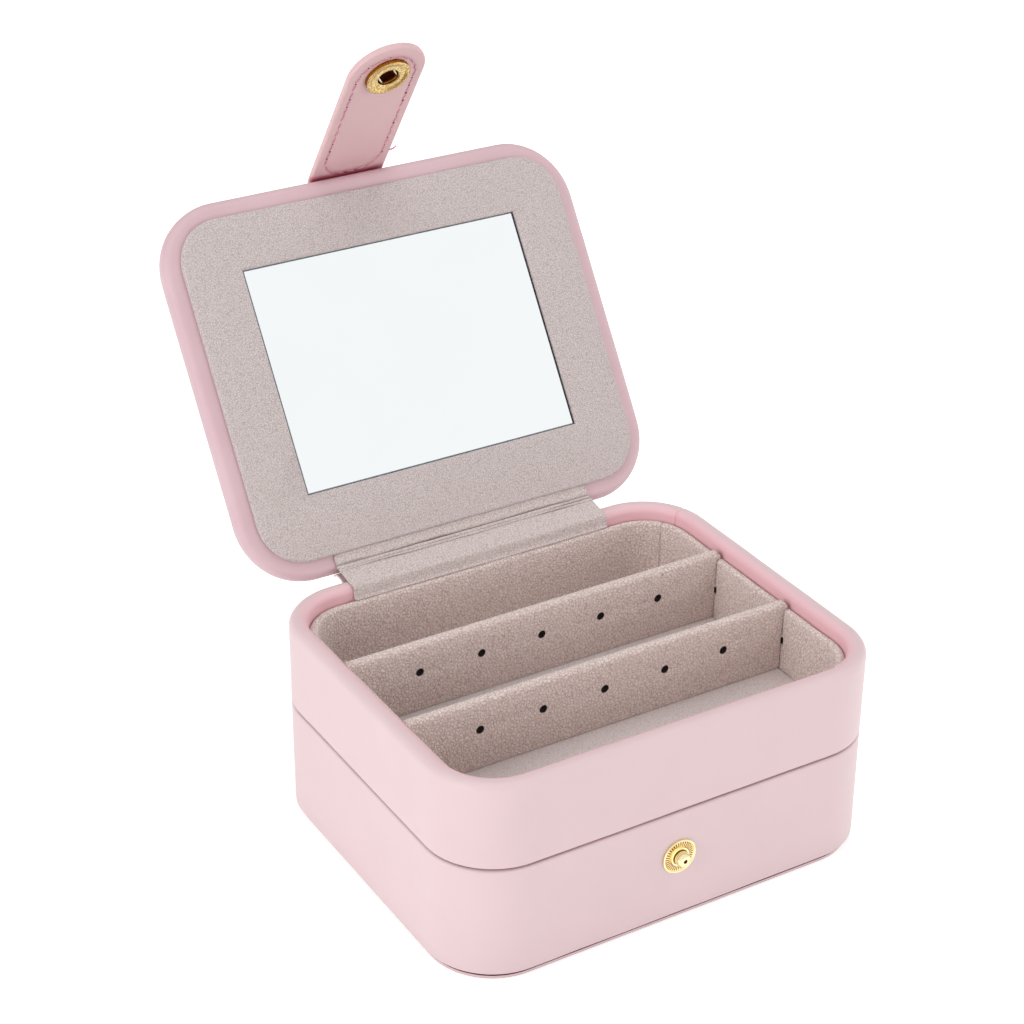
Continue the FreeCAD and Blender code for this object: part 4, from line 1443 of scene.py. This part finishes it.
stud_low, stud_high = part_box("snap_stud")
STUD_PLACE = Vector((STRAP_X, FRONT_Y, (stud_low.z + stud_high.z) / 2))
STAND_OUT = Matrix.Translation(STUD_PLACE) @ Matrix.Rotation(math.pi / 2, 4, "X")
socket_middle = strap_place(0, SOCKET_REACH, 0)
out_of_strap = (strap_place(0, SOCKET_REACH, mm(1)) - socket_middle).normalized()
along_strap = (strap_place(0, SOCKET_REACH + mm(1), 0) - socket_middle).normalized()
across_strap = along_strap.cross(out_of_strap)
strap_turn = Matrix((across_strap, along_strap, out_of_strap)).transposed().to_4x4()
ON_STRAP = Matrix.Translation(socket_middle) @ strap_turn
ON_INNER = ON_STRAP @ Matrix.Translation((0, 0, -STRAP_LAYER)) @ Matrix.Rotation(math.pi, 4, "X")
print("stud at", in_mm(STUD_PLACE), "socket at", in_mm(socket_middle))

# %% [markdown]
# The stud is a stamped flange with a ring of fine radial ridges, a collar, and a ball on a neck with a
# dimple at its tip. Every second face of the ring is raised, which makes the ridges that catch the light.

# %% Snap stud
RING_INNER, RING_OUTER = 2.6, 3.75
BALL_RADIUS, BALL_HEIGHT = 1.85, 1.4
BALL_FIRST_DEG, BALL_LAST_DEG, BALL_STEPS = -24, 44, 10
RIDGE_EDGE, RIDGE_HEIGHT = mm(0.03), mm(0.25)

stud_profile = [(4.4, 0), (4.45, 0.2), (4.4, 0.42), (4.22, 0.55), (4.02, 0.52), (3.88, 0.3),
                (RING_OUTER, 0.15), (RING_INNER, 0.15), (2.5, 0.35), (2.4, 0.68), (2.2, 0.76), (1.98, 0.7),
                (1.88, 0.5), (1.65, 0.5)]
for i in range(BALL_STEPS + 1):
    angle = math.radians(BALL_FIRST_DEG + (BALL_LAST_DEG - BALL_FIRST_DEG) * i / BALL_STEPS)
    stud_profile.append((BALL_RADIUS * math.cos(angle), BALL_HEIGHT + BALL_RADIUS * math.sin(angle)))
stud_profile += [(1.05, 2.78), (0.6, 2.82), (0.5, 2.74), (0.4, 2.2)]
stud = turned_form("snap_stud_gilt", stud_profile)
finishes(stud, GILT, GILT_SHADE)


def in_ring(spot):
    """Whether a spot lies in the sunk ring of the flange."""
    return mm(RING_INNER) < math.hypot(spot.x, spot.y) < mm(RING_OUTER) and spot.z < mm(0.2)


def recess(face):
    """Whether a face lies in the ring, round the neck or in the dimple."""
    spot = face.calc_center_median()
    radius = math.hypot(spot.x, spot.y)
    neck = mm(0.45) < spot.z < mm(0.68) and radius < mm(1.95)
    dimple = radius < mm(0.5) and spot.z > mm(2)
    return in_ring(spot) or neck or dimple


def ridge(face):
    """Whether a face is one of every second face of the ring."""
    spot = face.calc_center_median()
    slice_number = int((math.atan2(spot.y, spot.x) / math.tau + 0.5) * SNAP_STEPS)
    return slice_number % 2 == 0 and in_ring(spot)


# The ring, the neck and the dimple take the darker gilt, painted shade in the recesses.
paint(stud, recess, 1)
paint(stud, ridge, 0)
bpy.ops.mesh.inset(thickness=RIDGE_EDGE, use_individual=True)
bpy.ops.transform.translate(value=(0, 0, RIDGE_HEIGHT))
settle(stud, STAND_OUT)
dress(stud, GILT, "gilt_brass", "base", "snap_stud")

# %% [markdown]
# The socket is a dished ring with a round mouth. Its profile runs along the underside, up the edge, over
# the dish and down into the mouth, and a bridge between its first and last rings closes it. The walls of
# the mouth lie in shade and take a darker gilt, painted shade, as do the upright sides outside.

# %% Snap socket
socket_profile = [(3.3, 0.02), (5.7, 0.02), (5.7, 1.05), (5.64, 1.16), (5.5, 1.22), (5.2, 1.24), (4.8, 1.16),
                  (4.45, 1.04), (4.1, 0.98), (3.3, 1.0), (2.9, 0.98), (2.72, 0.9), (2.7, 0.7), (3.3, 0.69),
                  (3.3, 0.1)]
socket = turned_form("snap_socket_gilt", socket_profile)
pick(socket, "FACE", lambda face: len(face.verts) > 4)
bpy.ops.mesh.delete(type="ONLY_FACE")
pick(socket, "EDGE", lambda edge: len(edge.link_faces) < 2)
bpy.ops.mesh.bridge_edge_loops()
outward()
finishes(socket, STAMPED_GILT, GILT_SHADE)
paint(socket, lambda face: abs(face.normal.z) < 0.3 or face.calc_center_median().z < mm(0.7), 1)
settle(socket, ON_INNER)
dress(socket, STAMPED_GILT, "gilt_brass", "strap", "snap_socket")

# %% [markdown]
# Inside the socket, two spring wires cross it like chords and grip the ball's neck, so the mouth looks
# almost square. Whoever pressed the socket in didn't line up the wires, so they lie askew. Each is a
# cylinder with its ends rounded.

# %% Spring wires
WIRE_LENGTH, WIRE_RADIUS, WIRE_ROUND = mm(4.6), mm(0.3), mm(0.12)
WIRE_OFF, WIRE_HEIGHT = mm(2.05), mm(0.36)
SPRING_TURN = Matrix.Rotation(math.radians(35), 4, "Z")


def wire_end(edge):
    """Whether an edge goes round the end of a wire that lies along y."""
    at_end = all(abs(abs(vertex.co.y) - WIRE_LENGTH / 2) < TINY for vertex in edge.verts)
    return at_end and edge.calc_length() < mm(0.5)


wires = []
for side in (-1, 1):
    wires.append(start("cylinder", "wire", vertices=12, radius=WIRE_RADIUS, depth=WIRE_LENGTH,
                       rotation=(math.pi / 2, 0, 0), location=(side * WIRE_OFF, 0, WIRE_HEIGHT)))
    soften(wires[-1], wire_end, WIRE_ROUND, 2)
springs = joined(wires, "snap_springs_wire")
settle(springs, ON_INNER @ SPRING_TURN)
dress(springs, STEEL, "spring_steel", "strap", "snap_springs")

# %% [markdown]
# Outside, a smooth cap with a rolled edge closes the rivet, and its tube passes through both layers. The
# profile starts inside the tube, goes down and round its foot, out along the leather and over the crown.

# %% Snap cap
CAP_FACE = STRAP_LAYER / MM
TUBE_INNER, TUBE_OUTER, TUBE_FLOOR = 2.9, 3.2, 0.6
CROWN_PROFILE = [(6.1, 0.02), (6.25, 0.15), (6.25, 0.35), (6.05, 0.48), (5.7, 0.5), (5.0, 0.72), (4.0, 0.98),
                 (3.0, 1.15), (2.0, 1.25), (1.0, 1.3), (0.3, 1.31)]
cap_profile = [(TUBE_INNER, CAP_FACE + TUBE_FLOOR), (TUBE_INNER, -CAP_FACE), (TUBE_OUTER, -CAP_FACE),
               (TUBE_OUTER, CAP_FACE + CROWN_PROFILE[0][1])]
cap_profile += [(radius, CAP_FACE + height) for radius, height in CROWN_PROFILE]
cap = turned_form("snap_cap_gilt", cap_profile)
finishes(cap, CAP_GILT, DULL_BRASS)
paint(cap, lambda face: max(math.hypot(v.co.x, v.co.y) for v in face.verts) < mm(TUBE_INNER + 0.05)
      and face.calc_center_median().z < mm(CAP_FACE + TUBE_FLOOR + 0.05), 1)
settle(cap, ON_STRAP)
dress(cap, CAP_GILT, "gilt_brass", "strap", "snap_cap")
